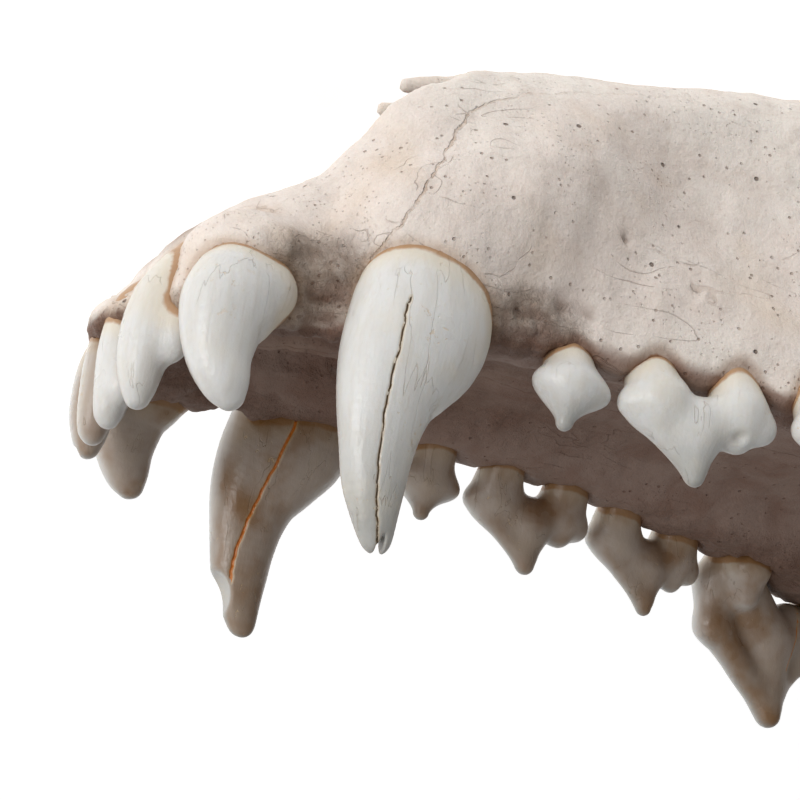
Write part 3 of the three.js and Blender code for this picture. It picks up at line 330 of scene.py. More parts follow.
def make_loft(rows, edge, ends):
    x0, x1 = rows[0][0], rows[-1][0]
    count = math.ceil((x1 - x0) / STEP) + 1
    table = np.array([hermite_rows(rows, x0 + i * STEP)[1:] for i in range(count)]).T
    slope = np.diff(table, axis=1) / STEP

    def f(x, y, z):
        at = np.clip((x - x0) / STEP, 0, count - 1.001)
        i = at.astype(np.int32)
        fr = at - i
        v = [table[c][i] + (table[c][i + 1] - table[c][i]) * fr for c in range(5)]
        inside = (x > x0) & (x < x1)
        d = [slope[c][i] * inside for c in range(5)]
        h = v[1] - v[0]
        t = np.clip((z - v[0]) / h, 0, 1)
        c0, c1, c2 = (1 - t) * (1 - 2 * t), 4 * t * (1 - t), t * (2 * t - 1)
        w = c0 * v[2] + c1 * v[3] + c2 * v[4]
        wx = c0 * d[2] + c1 * d[3] + c2 * d[4]
        wz = ((4 * t - 3) * v[2] + (4 - 8 * t) * v[3] + (4 * t - 1) * v[4]) / h
        side = (y - w) / np.sqrt(1 + wx * wx + wz * wz)
        top = (z - v[1]) / np.sqrt(1 + d[1] * d[1])
        bottom = (v[0] - z) / np.sqrt(1 + d[0] * d[0])
        out = smax(side, top, edge)
        out = smax(out, bottom, ends)
        return smax(out, np.maximum(x0 - x, x - x1), ends)
    return f


def make_ball(centre, radii, turns=(0, 0, 0)):
    m = turn_matrix(turns)

    def f(x, y, z):
        p = (x - centre[0], y - centre[1], z - centre[2])
        s0 = s1 = 0
        for c in range(3):
            q = (m[c][0] * p[0] + m[c][1] * p[1] + m[c][2] * p[2]) / radii[c]
            s0 = s0 + q * q
            s1 = s1 + q * q / (radii[c] * radii[c])
        k0 = np.sqrt(s0)
        return k0 * (k0 - 1) / np.maximum(np.sqrt(s1), 1e-6)
    return f


def make_cone(a, ra, b, rb):
    u = np.array(b, float) - np.array(a, float)
    uu = float(u @ u)

    def f(x, y, z):
        px, py, pz = x - a[0], y - a[1], z - a[2]
        t = np.clip((px * u[0] + py * u[1] + pz * u[2]) / uu, 0, 1)
        return np.sqrt((px - t * u[0]) ** 2 + (py - t * u[1]) ** 2 + (pz - t * u[2]) ** 2) - (ra + t * (rb - ra))
    return f


def make_strip(rows):
    numbered = [[i, *row] for i, row in enumerate(rows)]
    parts = 4
    path = [hermite_rows(numbered, i / parts)[1:] for i in range((len(rows) - 1) * parts + 1)]

    def f(x, y, z):
        best = np.full(np.broadcast(x, y, z).shape, 1e9)
        for a, b in zip(path[:-1], path[1:]):
            u = b[:3] - a[:3]
            px, py, pz = x - a[0], y - a[1], z - a[2]
            t = np.clip((px * u[0] + py * u[1] + pz * u[2]) / float(u @ u), 0, 1)
            rh, rt = a[3] + t * (b[3] - a[3]), a[4] + t * (b[4] - a[4])
            q2 = (px - t * u[0]) ** 2 + (py - t * u[1]) ** 2
            z2 = (pz - t * u[2]) ** 2
            k0 = np.sqrt(q2 / rt ** 2 + z2 / rh ** 2)
            k1 = np.sqrt(q2 / rt ** 4 + z2 / rh ** 4)
            np.minimum(best, k0 * (k0 - 1) / np.maximum(k1, 1e-6), out=best)
        return best
    return f


def make_horn(rows, flat):
    numbered = [[i, *row] for i, row in enumerate(rows)]
    parts = 4
    path = [hermite_rows(numbered, i / parts)[1:] for i in range((len(rows) - 1) * parts + 1)]

    def f(x, y, z):
        best = np.full(np.broadcast(x, y, z).shape, 1e9)
        for a, b in zip(path[:-1], path[1:]):
            u = b[:3] - a[:3]
            px, py, pz = x - a[0], y - a[1], z - a[2]
            t = np.clip((px * u[0] + py * u[1] + pz * u[2]) / float(u @ u), 0, 1)
            away = np.sqrt((px - t * u[0]) ** 2 + ((py - t * u[1]) / flat) ** 2 + (pz - t * u[2]) ** 2)
            np.minimum(best, away - a[3] - t * (b[3] - a[3]), out=best)
        return best
    return f


MAKERS = {"loft": make_loft, "ball": make_ball, "cone": make_cone, "strip": make_strip, "horn": make_horn}


def reach(kind, sizes):
    if kind == "loft":
        spots = [s for r in sizes[0] for s in (([r[0], 0, r[1]], 2), ([r[0], max(r[3:6]), r[2]], 2))]
    elif kind == "ball":
        spots = [(sizes[0], max(sizes[1]))]
    elif kind == "cone":
        spots = [(sizes[0], sizes[1]), (sizes[2], sizes[3])]
    elif kind == "strip":
        spots = [(r[:3], max(r[3], r[4])) for r in sizes[0]]
    else:
        spots = [(r[:3], r[3] * max(1, sizes[1])) for r in sizes[0]]
    return np.array([[min(p[c] - r for p, r in spots), max(p[c] + r for p, r in spots)] for c in range(3)])


def program(rows):
    """Rows of [mode, width, kind, sizes...] made ready to evaluate."""
    out = []
    for mode, width, kind, *sizes in rows:
        box = reach(kind, sizes)
        box[:, 0] -= width + 5
        box[:, 1] += width + 5
        out.append((mode == "add", width, MAKERS[kind](*sizes), box))
    return out


def distance(steps, x, y, z):
    """Distance to the form at points of one small block: steps out of reach are passed over."""
    y = np.abs(y)
    low = np.array([x.min(), y.min(), z.min()])
    high = np.array([x.max(), y.max(), z.max()])
    d = np.full(x.shape, 1000.0)
    for add, width, f, box in steps:
        if (low > box[:, 1]).any() or (high < box[:, 0]).any():
            continue
        v = f(x, y, z)
        d = smin(d, v, width) if add else smax(d, -v, width)
    return d

# ---- How the skull lies: the same turn and shift as the solid's
REST_TURN = [0.954941, 0.029666, 0.102257, -0.277039]      # quaternion x, y, z, w
REST_SHIFT = [-136.811, -16.662, 32.110]
_q = REST_TURN
TURN = np.array([
    [1 - 2 * (_q[1] ** 2 + _q[2] ** 2), 2 * (_q[0] * _q[1] - _q[2] * _q[3]), 2 * (_q[0] * _q[2] + _q[1] * _q[3])],
    [2 * (_q[0] * _q[1] + _q[2] * _q[3]), 1 - 2 * (_q[0] ** 2 + _q[2] ** 2), 2 * (_q[1] * _q[2] - _q[0] * _q[3])],
    [2 * (_q[0] * _q[2] - _q[1] * _q[3]), 2 * (_q[1] * _q[2] + _q[0] * _q[3]), 1 - 2 * (_q[0] ** 2 + _q[1] ** 2)]])
SHIFT = np.array(REST_SHIFT)


def to_row(p):
    """Animal's axes in millimetres to the frame's metres."""
    return (np.asarray(p) @ TURN.T + SHIFT) / 1000


# ---- Smooth random relief: sums of waves in random directions
rng = np.random.default_rng(7)


def waves(length, count):
    d = rng.normal(size=(count, 3))
    d /= np.linalg.norm(d, axis=1)[:, None]
    k = d * (2 * math.pi / length) * rng.uniform(0.7, 1.4, size=(count, 1))
    return k, rng.uniform(0, 2 * math.pi, count)


def ripple(field, x, y, z):
    k, phase = field
    out = np.zeros(x.shape)
    for (a, b, c), p in zip(k, phase):
        out += np.sin(a * x + b * y + c * z + p)
    return out / math.sqrt(len(phase) / 2)


SWELL = waves(17, 14)
KNOBS = waves(6.5, 14)
GRIT = waves(2.6, 16)
CRUMB = waves(1.5, 16)

# small openings for vessels: x, y, z, radius, depth (y less than nothing is the left side)
PITS = [
    (48.5, -19.9, 16.2, 0.62, 1.3), (56.7, -20.0, 12.2, 0.55, 1.0), (42.6, -15.5, 33.4, 0.5, 0.4),
    (39.1, -22.3, 6.3, 0.45, 0.5), (60.9, -17.1, 27.5, 0.45, 0.5), (15.7, -14.9, 14.5, 0.4, 0.4),
    (51.0, -21.0, 8.4, 0.4, 0.5), (66.0, -19.8, 20.0, 0.5, 0.6), (35.2, -21.5, 18.4, 0.35, 0.4),
    (47.0, 20.1, 15.2, 0.6, 0.8), (58.4, 20.4, 11.0, 0.5, 0.7), (64.0, 18.0, 27.0, 0.5, 0.5)]


def near(x, y, z, cx, cy, cz, rx, ry, rz):
    return np.exp(-(((x - cx) / rx) ** 2 + ((y - cy) / ry) ** 2 + ((z - cz) / rz) ** 2))


def rough_mask(x, y, z):
    """The pitted, uneven patches: before and behind each canine, round the sockets, on the palate."""
    a = np.abs(y)
    m = near(x, a, z, 17.5, 18.5, 3.5, 5.5, 5, 6.5)
    m = np.maximum(m, 0.8 * near(x, a, z, 38.5, 20.5, 4, 6.5, 5, 4))
    m = np.maximum(m, 0.5 * np.exp(-((z + 0.4) / 2.4) ** 2) * (x < 132))
    return np.maximum(m, 0.45 * near(x, a, z, 45, 6, 3, 38, 9, 4))


def relief(x, y, z):
    """How far the bone's surface stands out from its plain form, in millimetres."""
    a = np.abs(y)
    out = 0.16 * ripple(SWELL, x, y, z) + 0.09 * ripple(KNOBS, x, y, z) + 0.025 * ripple(GRIT, x, y, z)
    out += 0.22 * rough_mask(x, y, z) * (ripple(GRIT, x, y, z) - 0.5 + 0.6 * ripple(CRUMB, x, y, z) + 0.8 * ripple(KNOBS, z, x * 1.5, y))
    # ripples of muscle and sinew marks on the braincase and the crests
    back = np.clip((x - 176) / 14, 0, 1)
    out += 0.14 * back * ripple(KNOBS, x * 0.55, y * 1.4, z * 1.4)
    for px, py, pz, r, depth in PITS:
        out -= depth * np.exp(-(((x - px) ** 2 + (y - py) ** 2 + (z - pz) ** 2) / r ** 2) ** 1.3)
    # the seam of the premaxilla, and the palate's ridges
    seam = x - 23.1 - 0.45 * (z - 8.8) - 0.5 * np.sin(z * 1.7)
    out -= 0.13 * np.exp(-(seam / 0.45) ** 2) * ((z > 7) & (z < 30) & (a > 8))
    ridge = np.clip(1 - a / 15, 0, 1) * ((z < 8) & (x > 28) & (x < 112))
    out += 0.16 * ridge * np.sin(x * 0.72 - a * 0.16)
    out -= 0.2 * np.exp(-(y / 0.5) ** 2) * ((z < 9) & (x > 14) & (x < 118))
    return out


# ---- Surface of a form, on a grid whose spacing may change from place to place
def grid_axis(*runs):
    """Grid lines from runs of (start, end, spacing at the start, spacing at the end)."""
    out = [runs[0][0]]
    for start, end, s0, s1 in runs:
        while out[-1] < end:
            t = (out[-1] - start) / (end - start)
            out.append(out[-1] + s0 + (s1 - s0) * t)
    return np.array(out)


def sample(f, ax, margin=2.0, block=14):
    n = [len(a) for a in ax]
    value = np.empty(n)
    starts = [np.arange(0, m, block) for m in n]
    mids = [[a[s:s + block].mean() for s in st] for a, st in zip(ax, starts)]
    halves = [[np.ptp(a[s:s + block]) / 2 for s in st] for a, st in zip(ax, starts)]
    for i, s in enumerate(starts[0]):
        for j, u in enumerate(starts[1]):
            for k, w in enumerate(starts[2]):
                c = (slice(s, s + block), slice(u, u + block), slice(w, w + block))
                middle = f(*(np.full((1, 1, 1), m[at]) for m, at in zip(mids, (i, j, k))))[0, 0, 0]
                size = math.sqrt(halves[0][i] ** 2 + halves[1][j] ** 2 + halves[2][k] ** 2)
                if abs(middle) > 1.25 * size + margin:
                    value[c] = middle
                else:
                    x, y, z = np.meshgrid(ax[0][c[0]], ax[1][c[1]], ax[2][c[2]], indexing="ij")
                    value[c] = f(x, y, z)
    return value


def nets(value, ax):
    """One point in each grid cell that the surface crosses, and a quad for each crossed line."""
    inside = value < 0
    cells = np.zeros(tuple(m - 1 for m in value.shape), np.int8)
    for i in (0, 1):
        for j in (0, 1):
            for k in (0, 1):
                cells += inside[i:value.shape[0] - 1 + i, j:value.shape[1] - 1 + j, k:value.shape[2] - 1 + k]
    at = np.argwhere((cells > 0) & (cells < 8))
    index = np.full(cells.shape, -1, np.int64)
    index[tuple(at.T)] = np.arange(len(at))
    total, hits = np.zeros((len(at), 3)), np.zeros(len(at))
    corners = [(i, j, k) for i in (0, 1) for j in (0, 1) for k in (0, 1)]
    for a in corners:
        for axis in range(3):
            if a[axis]:
                continue
            b = list(a)
            b[axis] = 1
            va = value[at[:, 0] + a[0], at[:, 1] + a[1], at[:, 2] + a[2]]
            vb = value[at[:, 0] + b[0], at[:, 1] + b[1], at[:, 2] + b[2]]
            cross = (va < 0) != (vb < 0)
            t = np.where(cross, va / np.where(cross, va - vb, 1), 0)
            for c in range(3):
                pa, pb = ax[c][at[:, c] + a[c]], ax[c][at[:, c] + b[c]]
                total[:, c] += np.where(cross, pa + t * (pb - pa), 0)
            hits += cross
    points = total / hits[:, None]
    quads = []
    for axis in range(3):
        u, w = (axis + 1) % 3, (axis + 2) % 3
        lo = [slice(None)] * 3
        hi = [slice(None)] * 3
        lo[axis], hi[axis] = slice(0, -1), slice(1, None)
        crossed = inside[tuple(lo)] != inside[tuple(hi)]
        e = np.argwhere(crossed)
        ok = (e[:, u] > 0) & (e[:, w] > 0) & (e[:, u] < value.shape[u] - 1) & (e[:, w] < value.shape[w] - 1)
        e = e[ok]
        ring = []
        for du, dw in ((-1, -1), (0, -1), (0, 0), (-1, 0)):
            c = e.copy()
            c[:, u] += du
            c[:, w] += dw
            ring.append(index[tuple(c.T)])
        q = np.stack(ring, 1)
        start_in = inside[tuple(e.T)]
        q[~start_in] = q[~start_in][:, ::-1]
        quads.append(q)
    return points, np.concatenate(quads)


def by_block(f, p, fold=False, size=14.0):
    """f at scattered points, taken block by block so that far-off forms are passed over."""
    if fold:
        p = np.stack([p[:, 0], np.abs(p[:, 1]), p[:, 2]], 1)
    key = np.floor(p / size).astype(np.int64)
    key = (key[:, 0] * 4096 + key[:, 1]) * 4096 + key[:, 2]
    order = np.argsort(key, kind="stable")
    cuts = np.flatnonzero(np.diff(key[order])) + 1
    out = np.empty(len(p))
    for part in np.split(order, cuts):
        out[part] = f(p[part, 0], p[part, 1], p[part, 2])
    return out


def settle(f, p, fold=False, limit=0.3, e=0.06):
    """Points moved along the slope onto the form, and the direction out of it at each."""
    d = by_block(f, p, fold)
    g = np.stack([by_block(f, p + e * np.eye(3)[c], fold) - d for c in range(3)], 1) / e
    steep = np.maximum(np.linalg.norm(g, axis=1), 0.3)
    n = g / steep[:, None]
    p = p - np.clip(d / steep, -limit, limit)[:, None] * n
    return p - np.clip(by_block(f, p, fold) / steep, -limit, limit)[:, None] * n, n


def add_mesh(name, points, faces, smooth=True):
    mesh = bpy.data.meshes.new(name)
    mesh.vertices.add(len(points))
    mesh.vertices.foreach_set("co", to_row(points).astype(np.float32).ravel())
    n = faces.shape[1]
    mesh.loops.add(len(faces) * n)
    mesh.loops.foreach_set("vertex_index", faces.astype(np.int32).ravel())
    mesh.polygons.add(len(faces))
    mesh.polygons.foreach_set("loop_start", np.arange(0, len(faces) * n, n, dtype=np.int32))
    mesh.update(calc_edges=True)
    mesh.validate()
    if smooth:
        mesh.shade_smooth()
    piece = bpy.data.objects.new(name, mesh)
    bpy.context.collection.objects.link(piece)
    at = mesh.attributes.new("skull", "FLOAT_VECTOR", "POINT")
    at.data.foreach_set("vector", np.asarray(points, np.float32).ravel())
    return piece


def give(piece, name, values):
    at = piece.data.attributes.new(name, "FLOAT", "POINT")
    at.data.foreach_set("value", np.asarray(values, np.float32))


def spread(values, faces, times):
    """A value at each point, evened out with its neighbours."""
    a = faces.ravel()
    b = np.roll(faces, -1, axis=1).ravel()
    count = np.bincount(a, minlength=len(values)) + np.bincount(b, minlength=len(values))
    for _ in range(times):
        if values.ndim == 1:
            total = np.bincount(a, values[b], len(values)) + np.bincount(b, values[a], len(values))
            values = 0.5 * values + 0.5 * total / np.maximum(count, 1)
        else:
            values = np.stack([spread(values[:, c], faces, 1) for c in range(values.shape[1])], 1)
    return values


def outward(points, faces):
    a, b, c, d = (points[faces[:, i]] for i in range(4))
    n = np.cross(c - a, d - b)
    out = np.zeros(points.shape)
    for i in range(4):
        for k in range(3):
            out[:, k] += np.bincount(faces[:, i], n[:, k], len(points))
    return out / np.maximum(np.linalg.norm(out, axis=1), 1e-9)[:, None]


# ---- The bone
bone_steps = program(BONE)
tooth_steps = {name: program([["add", width, *form] for form in forms]) for name, width, *forms in TEETH}


def bone_plain(x, y, z):
    return distance(bone_steps, x, y, z)


def tooth_near(x, y, z):
    """Distance to the nearest tooth."""
    if x.min() > 140 or z.min() > 22:
        return np.full(x.shape, 50.0)
    out = np.full(x.shape, 50.0)
    for steps in tooth_steps.values():
        np.minimum(out, distance(steps, x, y, z), out=out)
    return out


def mirrored(*runs):
    side = grid_axis(*runs)
    return np.concatenate([-side[:0:-1], side])


fine = 0.55
wide = 1.0
axes = [
    grid_axis((-5, 70, fine, fine), (70, 100, fine, wide), (100, TOTAL_LENGTH + 7, wide, wide)),
    mirrored((0, 32, fine, fine), (32, ARCH_HALF + 5, fine, wide)),
    grid_axis((-12, 46, fine, fine), (46, CREST_TOP + 6, fine, wide))]
middle = len(axes[1]) // 2
value = sample(bone_plain, [axes[0], axes[1][middle:], axes[2]])
points, faces = nets(np.concatenate([value[:, :0:-1], value], 1), axes)
points, slope = settle(bone_plain, points, True)
socket = by_block(tooth_near, points, True)
lift = relief(*points.T) - 0.45 * np.exp(-(np.maximum(socket, 0) / 0.55) ** 2)
points = points + lift[:, None] * slope
normals = outward(points, faces)
# how hollow each point lies, used for painted shade in the hollows and paler ridges
hollow = ((spread(points, faces, 6) - points) * normals).sum(1)
hollow = spread(hollow, faces, 3)
bone = add_mesh("cranium_bone", points, faces)
give(bone, "hollow", np.clip(hollow * 4, -1, 1))
give(bone, "socket", socket)
give(bone, "rough", rough_mask(*points.T))
print("bone", len(points), "points")

# ---- Sutures: how far a point lies to one side of each seam, and how strongly the seam shows
def seams(x, y, z, n):
    a = np.abs(y)
    up, down = np.clip(n[:, 2] * 3, 0, 1), np.clip(-n[:, 2] * 3, 0, 1)

    def within(v, low, high, soft=3.0):
        return np.clip((v - low) / soft, 0, 1) * np.clip((high - v) / soft, 0, 1)

    rise = np.maximum(z - 26, 0)
    pre = (x - 23.1 - 0.45 * (z - 8.8) - 0.16 * rise ** 2) / np.sqrt(1 + (0.45 + 0.32 * rise) ** 2)
    nasal = a - np.interp(x, [30, 50, 80, 105, 126], [9.4, 7.6, 8.2, 6.8, 1.5])
    brow = x - 128 + 0.95 * a - 0.012 * a ** 2
    coronal = x - 181 - 0.16 * (z - 45) - 2.2 * np.sin(z * 0.16)
    arch = (z - 34.5 + 0.36 * (x - 160)) / 1.06
    temporal = z - 36 - 9 * np.sin((x - 186) / 44 * math.pi)
    cheek = x - 113 - 0.35 * (z - 20) - 2 * np.sin(z * 0.3)
    palatine = x - 88 - 0.045 * a ** 2
    return [
        (pre, within(z, 6, 39) * np.clip((a - 7) / 2, 0, 1) * within(x, 12, 66) * np.interp(z, [26, 33], [1, 0.35])),
        (y, np.maximum(up * within(x, 27, 180), down * within(x, 10, 120)) * (a < 3)),
        (nasal, up * within(x, 29, 126) * 0.55),
        (brow, up * within(x, 96, 128) * within(a, 2, 24)),
        (coronal, within(z, 20, 66) * within(a, 5, 40) * (x > 160) * (x < 205)),
        (arch, within(x, 160, 188) * np.clip((a - 55) / 3, 0, 1)),
        (temporal, within(x, 188, 232) * np.clip((a - 17) / 3, 0, 1) * np.clip((42 - a) / 3, 0, 1)),
        (cheek, within(z, 8, 34) * np.clip((a - 36) / 3, 0, 1)),
        (palatine, down * within(x, 84, 112) * within(a, -3, 21))]


facing = normals
# the palate's downward faces, which get painted shade
palate = np.clip((-facing[:, 2] - 0.05) * 2.6, 0, 1) * np.clip((12 - points[:, 2]) / 6, 0, 1)
palate *= np.clip((np.interp(points[:, 0], [0, 8, 18, 28, 40, 60, 76, 100, 136], [9, 15, 16, 21, 22, 24, 27, 37, 38]) - np.abs(points[:, 1])) / 2, 0, 1)
palate *= np.clip((200 - points[:, 0]) / 30, 0, 1)
give(bone, "palate", palate)
# the inside of the nose, which gets painted shade
inner = np.clip((60 - points[:, 0]) / 10, 0, 1) * np.clip((9.5 - np.abs(points[:, 1])) / 3, 0, 1)
inner *= np.clip(facing[:, 2] + 0.4, 0, 1) * np.clip((points[:, 2] - 7) / 3, 0, 1) * np.clip((34 - points[:, 2]) / 4, 0, 1)
give(bone, "nose", inner)
found = seams(*points.T, facing)
for group in range(3):
    for kind, pick in (("seam", 0), ("seamshow", 1)):
        at = bone.data.attributes.new(f"{kind}_{group}", "FLOAT_VECTOR", "POINT")
        values = np.stack([found[group * 3 + c][pick] for c in range(3)], 1).astype(np.float32)
        at.data.foreach_set("vector", values.ravel())

# ---- The teeth: each its own piece, left and right unlike in their cracks and wear
# cracks: (x, z) points down the crown, which face it is on (1 the cheek's, -1 the tongue's),
# depth, half-width
CRACKS = {
    ("canine", "left"): [
        ([(25.1, 2.4), (24.7, 0.3), (24.6, -2.3), (24.25, -5.3), (24.02, -8.9), (24.12, -12.8),
          (24.4, -16.5), (25.05, -19.5), (25.65, -21.4), (25.9, -23.6)], 1, 0.32, 0.085)],
    ("canine", "right"): [
        ([(27.3, 2.6), (26.7, 0.6), (25.9, -3.0), (25.06, -6.3), (24.17, -9.7), (23.6, -12.5),
          (23.3, -15.1), (23.5, -17.3)], -1, 0.36, 0.14)],
    ("carnassial", "right"): [([(99.5, 1), (99.0, -5), (98.4, -10)], -1, 0.1, 0.1)]}
# notches and chips: centre, radii, turns
CHIPS = {
    ("canine", "left"): [((25.95, -21.2, -24.2), (0.4, 5, 3.4), (0, 5, 0))],
    ("canine", "right"): [((21.0, 20.5, -19.6), (2.9, 8, 3.6), (0, 8, 0)), ((20.6, 19.0, -15.2), (1.3, 3.2, 2.6), (0, 8, 14))],
    ("premolar_2", "left"): [((61.6, -24.4, -3.4), (1.0, 1.4, 0.8), (0, 0, 0))],
    ("incisor_2", "right"): [((2.4, 11.2, -9.8), (1.2, 1.4, 0.7), (0, 0, 0))]}
SPACING = {"incisor": 0.3, "canine": 0.2, "premolar": 0.32, "carnassial": 0.38, "molar": 0.42}


def line_distance(path, x, z):
    out = np.full(x.shape, 1e9)
    for a, b in zip(path[:-1], path[1:]):
        u, w = b[0] - a[0], b[1] - a[1]
        px, pz = x - a[0], z - a[1]
        t = np.clip((px * u + pz * w) / (u * u + w * w), 0, 1)
        np.minimum(out, np.hypot(px - t * u, pz - t * w), out=out)
    return out


def wavy(path, turns=4):
    """The same line with small bends between its points."""
    out = []
    for i, (a, b) in enumerate(zip(path[:-1], path[1:])):
        for s in range(turns):
            t = s / turns
            k = 0.07 * math.sin(i * 5.3 + s * 2.1)
            out.append([a[0] + (b[0] - a[0]) * t + k, a[1] + (b[1] - a[1]) * t])
    return out + [list(path[-1])]


teeth = []
for name, width, *forms in TEETH:
    steps = tooth_steps[name]
    boxes = [reach(form[0], form[1:]) for form in forms]
    low = np.min([b[:, 0] for b in boxes], 0) - 1.2
    high = np.max([b[:, 1] for b in boxes], 0) + 1.2
    step = SPACING[name.split("_")[0]] * 1
    for side, sign in (("left", -1), ("right", 1)):
        middle = float(np.mean([b[1].mean() for b in boxes]))
        cracks = [(wavy(path), face, depth, half) for path, face, depth, half in CRACKS.get((name, side), [])]
        chips = [make_ball(*chip) for chip in CHIPS.get((name, side), [])]

        def tooth_full(x, y, z):
            d = distance(steps, x, y, z)
            d = d - 0.03 * ripple(KNOBS, x, y, z * 0.4) - 0.012 * ripple(GRIT, x, y, z * 0.4)
            for chip in chips:
                d = smax(d, -chip(x, y, z), 0.35)
            for path, face, depth, half in cracks:
                on = (np.abs(y) - middle) * face > -1
                d = d + on * depth * np.exp(-(line_distance(path, x, z) / half) ** 2)
            return d

        span = [(low[0], high[0]), (low[1], high[1]) if sign > 0 else (-high[1], -low[1]), (low[2], high[2])]
        ax = [np.arange(a, b + step, step) for a, b in span]
        p, q = nets(sample(tooth_full, ax, 1.0, 20), ax)
        p, n = settle(tooth_full, p, False, 0.2, 0.03)
        piece = add_mesh(f"tooth_{side}_{name}", p, q)
        n = outward(p, q)
        give(piece, "neck", np.clip(by_block(bone_plain, p, True), -1, 30))
        # the tongue side, for partly real tartar and partly painted shade
        give(piece, "lingual", spread(np.clip(-n[:, 1] * sign * 1.4 + 0.1, 0, 1), q, 3))
        reach_down = float(p[:, 2].min())
        give(piece, "crown", np.clip(p[:, 2] / reach_down, 0, 1) * (0.5 if name.startswith("incisor") else 1))
        crack = np.full(len(p), 9.0)
        for path, face, depth, half in cracks:
            on = (np.abs(p[:, 1]) - middle) * face > -1
            crack = np.where(on, np.minimum(crack, line_distance(path, p[:, 0], p[:, 2]) / half), crack)
        give(piece, "crack", crack)
        # the right teeth get painted glow in their cracks
        give(piece, "crack_glow", np.full(len(p), 1.0 if side == "right" else 0.0))
        teeth.append(piece)
print("teeth", sum(len(t.data.vertices) for t in teeth), "points")

# ---- Materials
def linear(r, g, b):
    return tuple((c / 255 / 12.92) if c <= 10 else ((c / 255 + 0.055) / 1.055) ** 2.4 for c in (r, g, b)) + (1.0,)


class Look:
    """A material's nodes, joined up by short calls."""

    def __init__(self, name):
        self.material = bpy.data.materials.new(name)
        self.material.use_nodes = True
        self.tree = self.material.node_tree
        self.tree.nodes.clear()
        out = self.tree.nodes.new("ShaderNodeOutputMaterial")
        self.body = self.tree.nodes.new("ShaderNodeBsdfPrincipled")
        self.tree.links.new(self.body.outputs[0], out.inputs[0])

    def plug(self, socket, value):
        if isinstance(value, bpy.types.NodeSocket):
            self.tree.links.new(value, socket)
        else:
            socket.default_value = value

    def math(self, op, a, b=0.0, clamp=False):
        node = self.tree.nodes.new("ShaderNodeMath")
        node.operation, node.use_clamp = op, clamp
        self.plug(node.inputs[0], a)
        self.plug(node.inputs[1], b)
        return node.outputs[0]

    def mix(self, factor, a, b, mode="MIX"):
        node = self.tree.nodes.new("ShaderNodeMix")
        node.data_type, node.blend_type = "RGBA", mode
        self.plug(node.inputs[0], factor)
        self.plug(node.inputs[6], a)
        self.plug(node.inputs[7], b)
        return node.outputs[2]

    def value(self, name):
        node = self.tree.nodes.new("ShaderNodeAttribute")
        node.attribute_name = name
        return node.outputs["Fac"]

    def vector(self, name, stretch=(1, 1, 1)):
        node = self.tree.nodes.new("ShaderNodeAttribute")
        node.attribute_name = name
        scale = self.tree.nodes.new("ShaderNodeMapping")
        self.tree.links.new(node.outputs["Vector"], scale.inputs["Vector"])
        scale.inputs["Scale"].default_value = stretch
        return scale.outputs[0]

    def parts(self, name):
        node = self.tree.nodes.new("ShaderNodeAttribute")
        node.attribute_name = name
        split = self.tree.nodes.new("ShaderNodeSeparateXYZ")
        self.tree.links.new(node.outputs["Vector"], split.inputs[0])
        return [split.outputs[c] for c in range(3)]

    def noise(self, where, scale, detail=3.0, rough=0.55, bend=0.0):
        node = self.tree.nodes.new("ShaderNodeTexNoise")
        self.plug(node.inputs["Vector"], where)
        node.inputs["Scale"].default_value = scale
        node.inputs["Detail"].default_value = detail
        node.inputs["Roughness"].default_value = rough
        node.inputs["Distortion"].default_value = bend
        return node.outputs["Fac"]

    def cells(self, where, scale, feature="F1", spread=1.0):
        node = self.tree.nodes.new("ShaderNodeTexVoronoi")
        node.feature = feature
        self.plug(node.inputs["Vector"], where)
        node.inputs["Scale"].default_value = scale
        node.inputs["Randomness"].default_value = spread
        return node

    def band(self, value, low, high, a=0.0, b=1.0):
        node = self.tree.nodes.new("ShaderNodeMapRange")
        node.interpolation_type = "SMOOTHSTEP"
        self.plug(node.inputs[0], value)
        for i, v in enumerate((low, high, a, b)):
            node.inputs[i + 1].default_value = v
        return node.outputs[0]

    def bump(self, height, depth, onto=None, strength=1.0):
        node = self.tree.nodes.new("ShaderNodeBump")
        node.inputs["Distance"].default_value = depth / 1000
        node.inputs["Strength"].default_value = strength
        self.plug(node.inputs["Height"], height)
        if onto is not None:
            self.plug(node.inputs["Normal"], onto)
        return node.outputs[0]


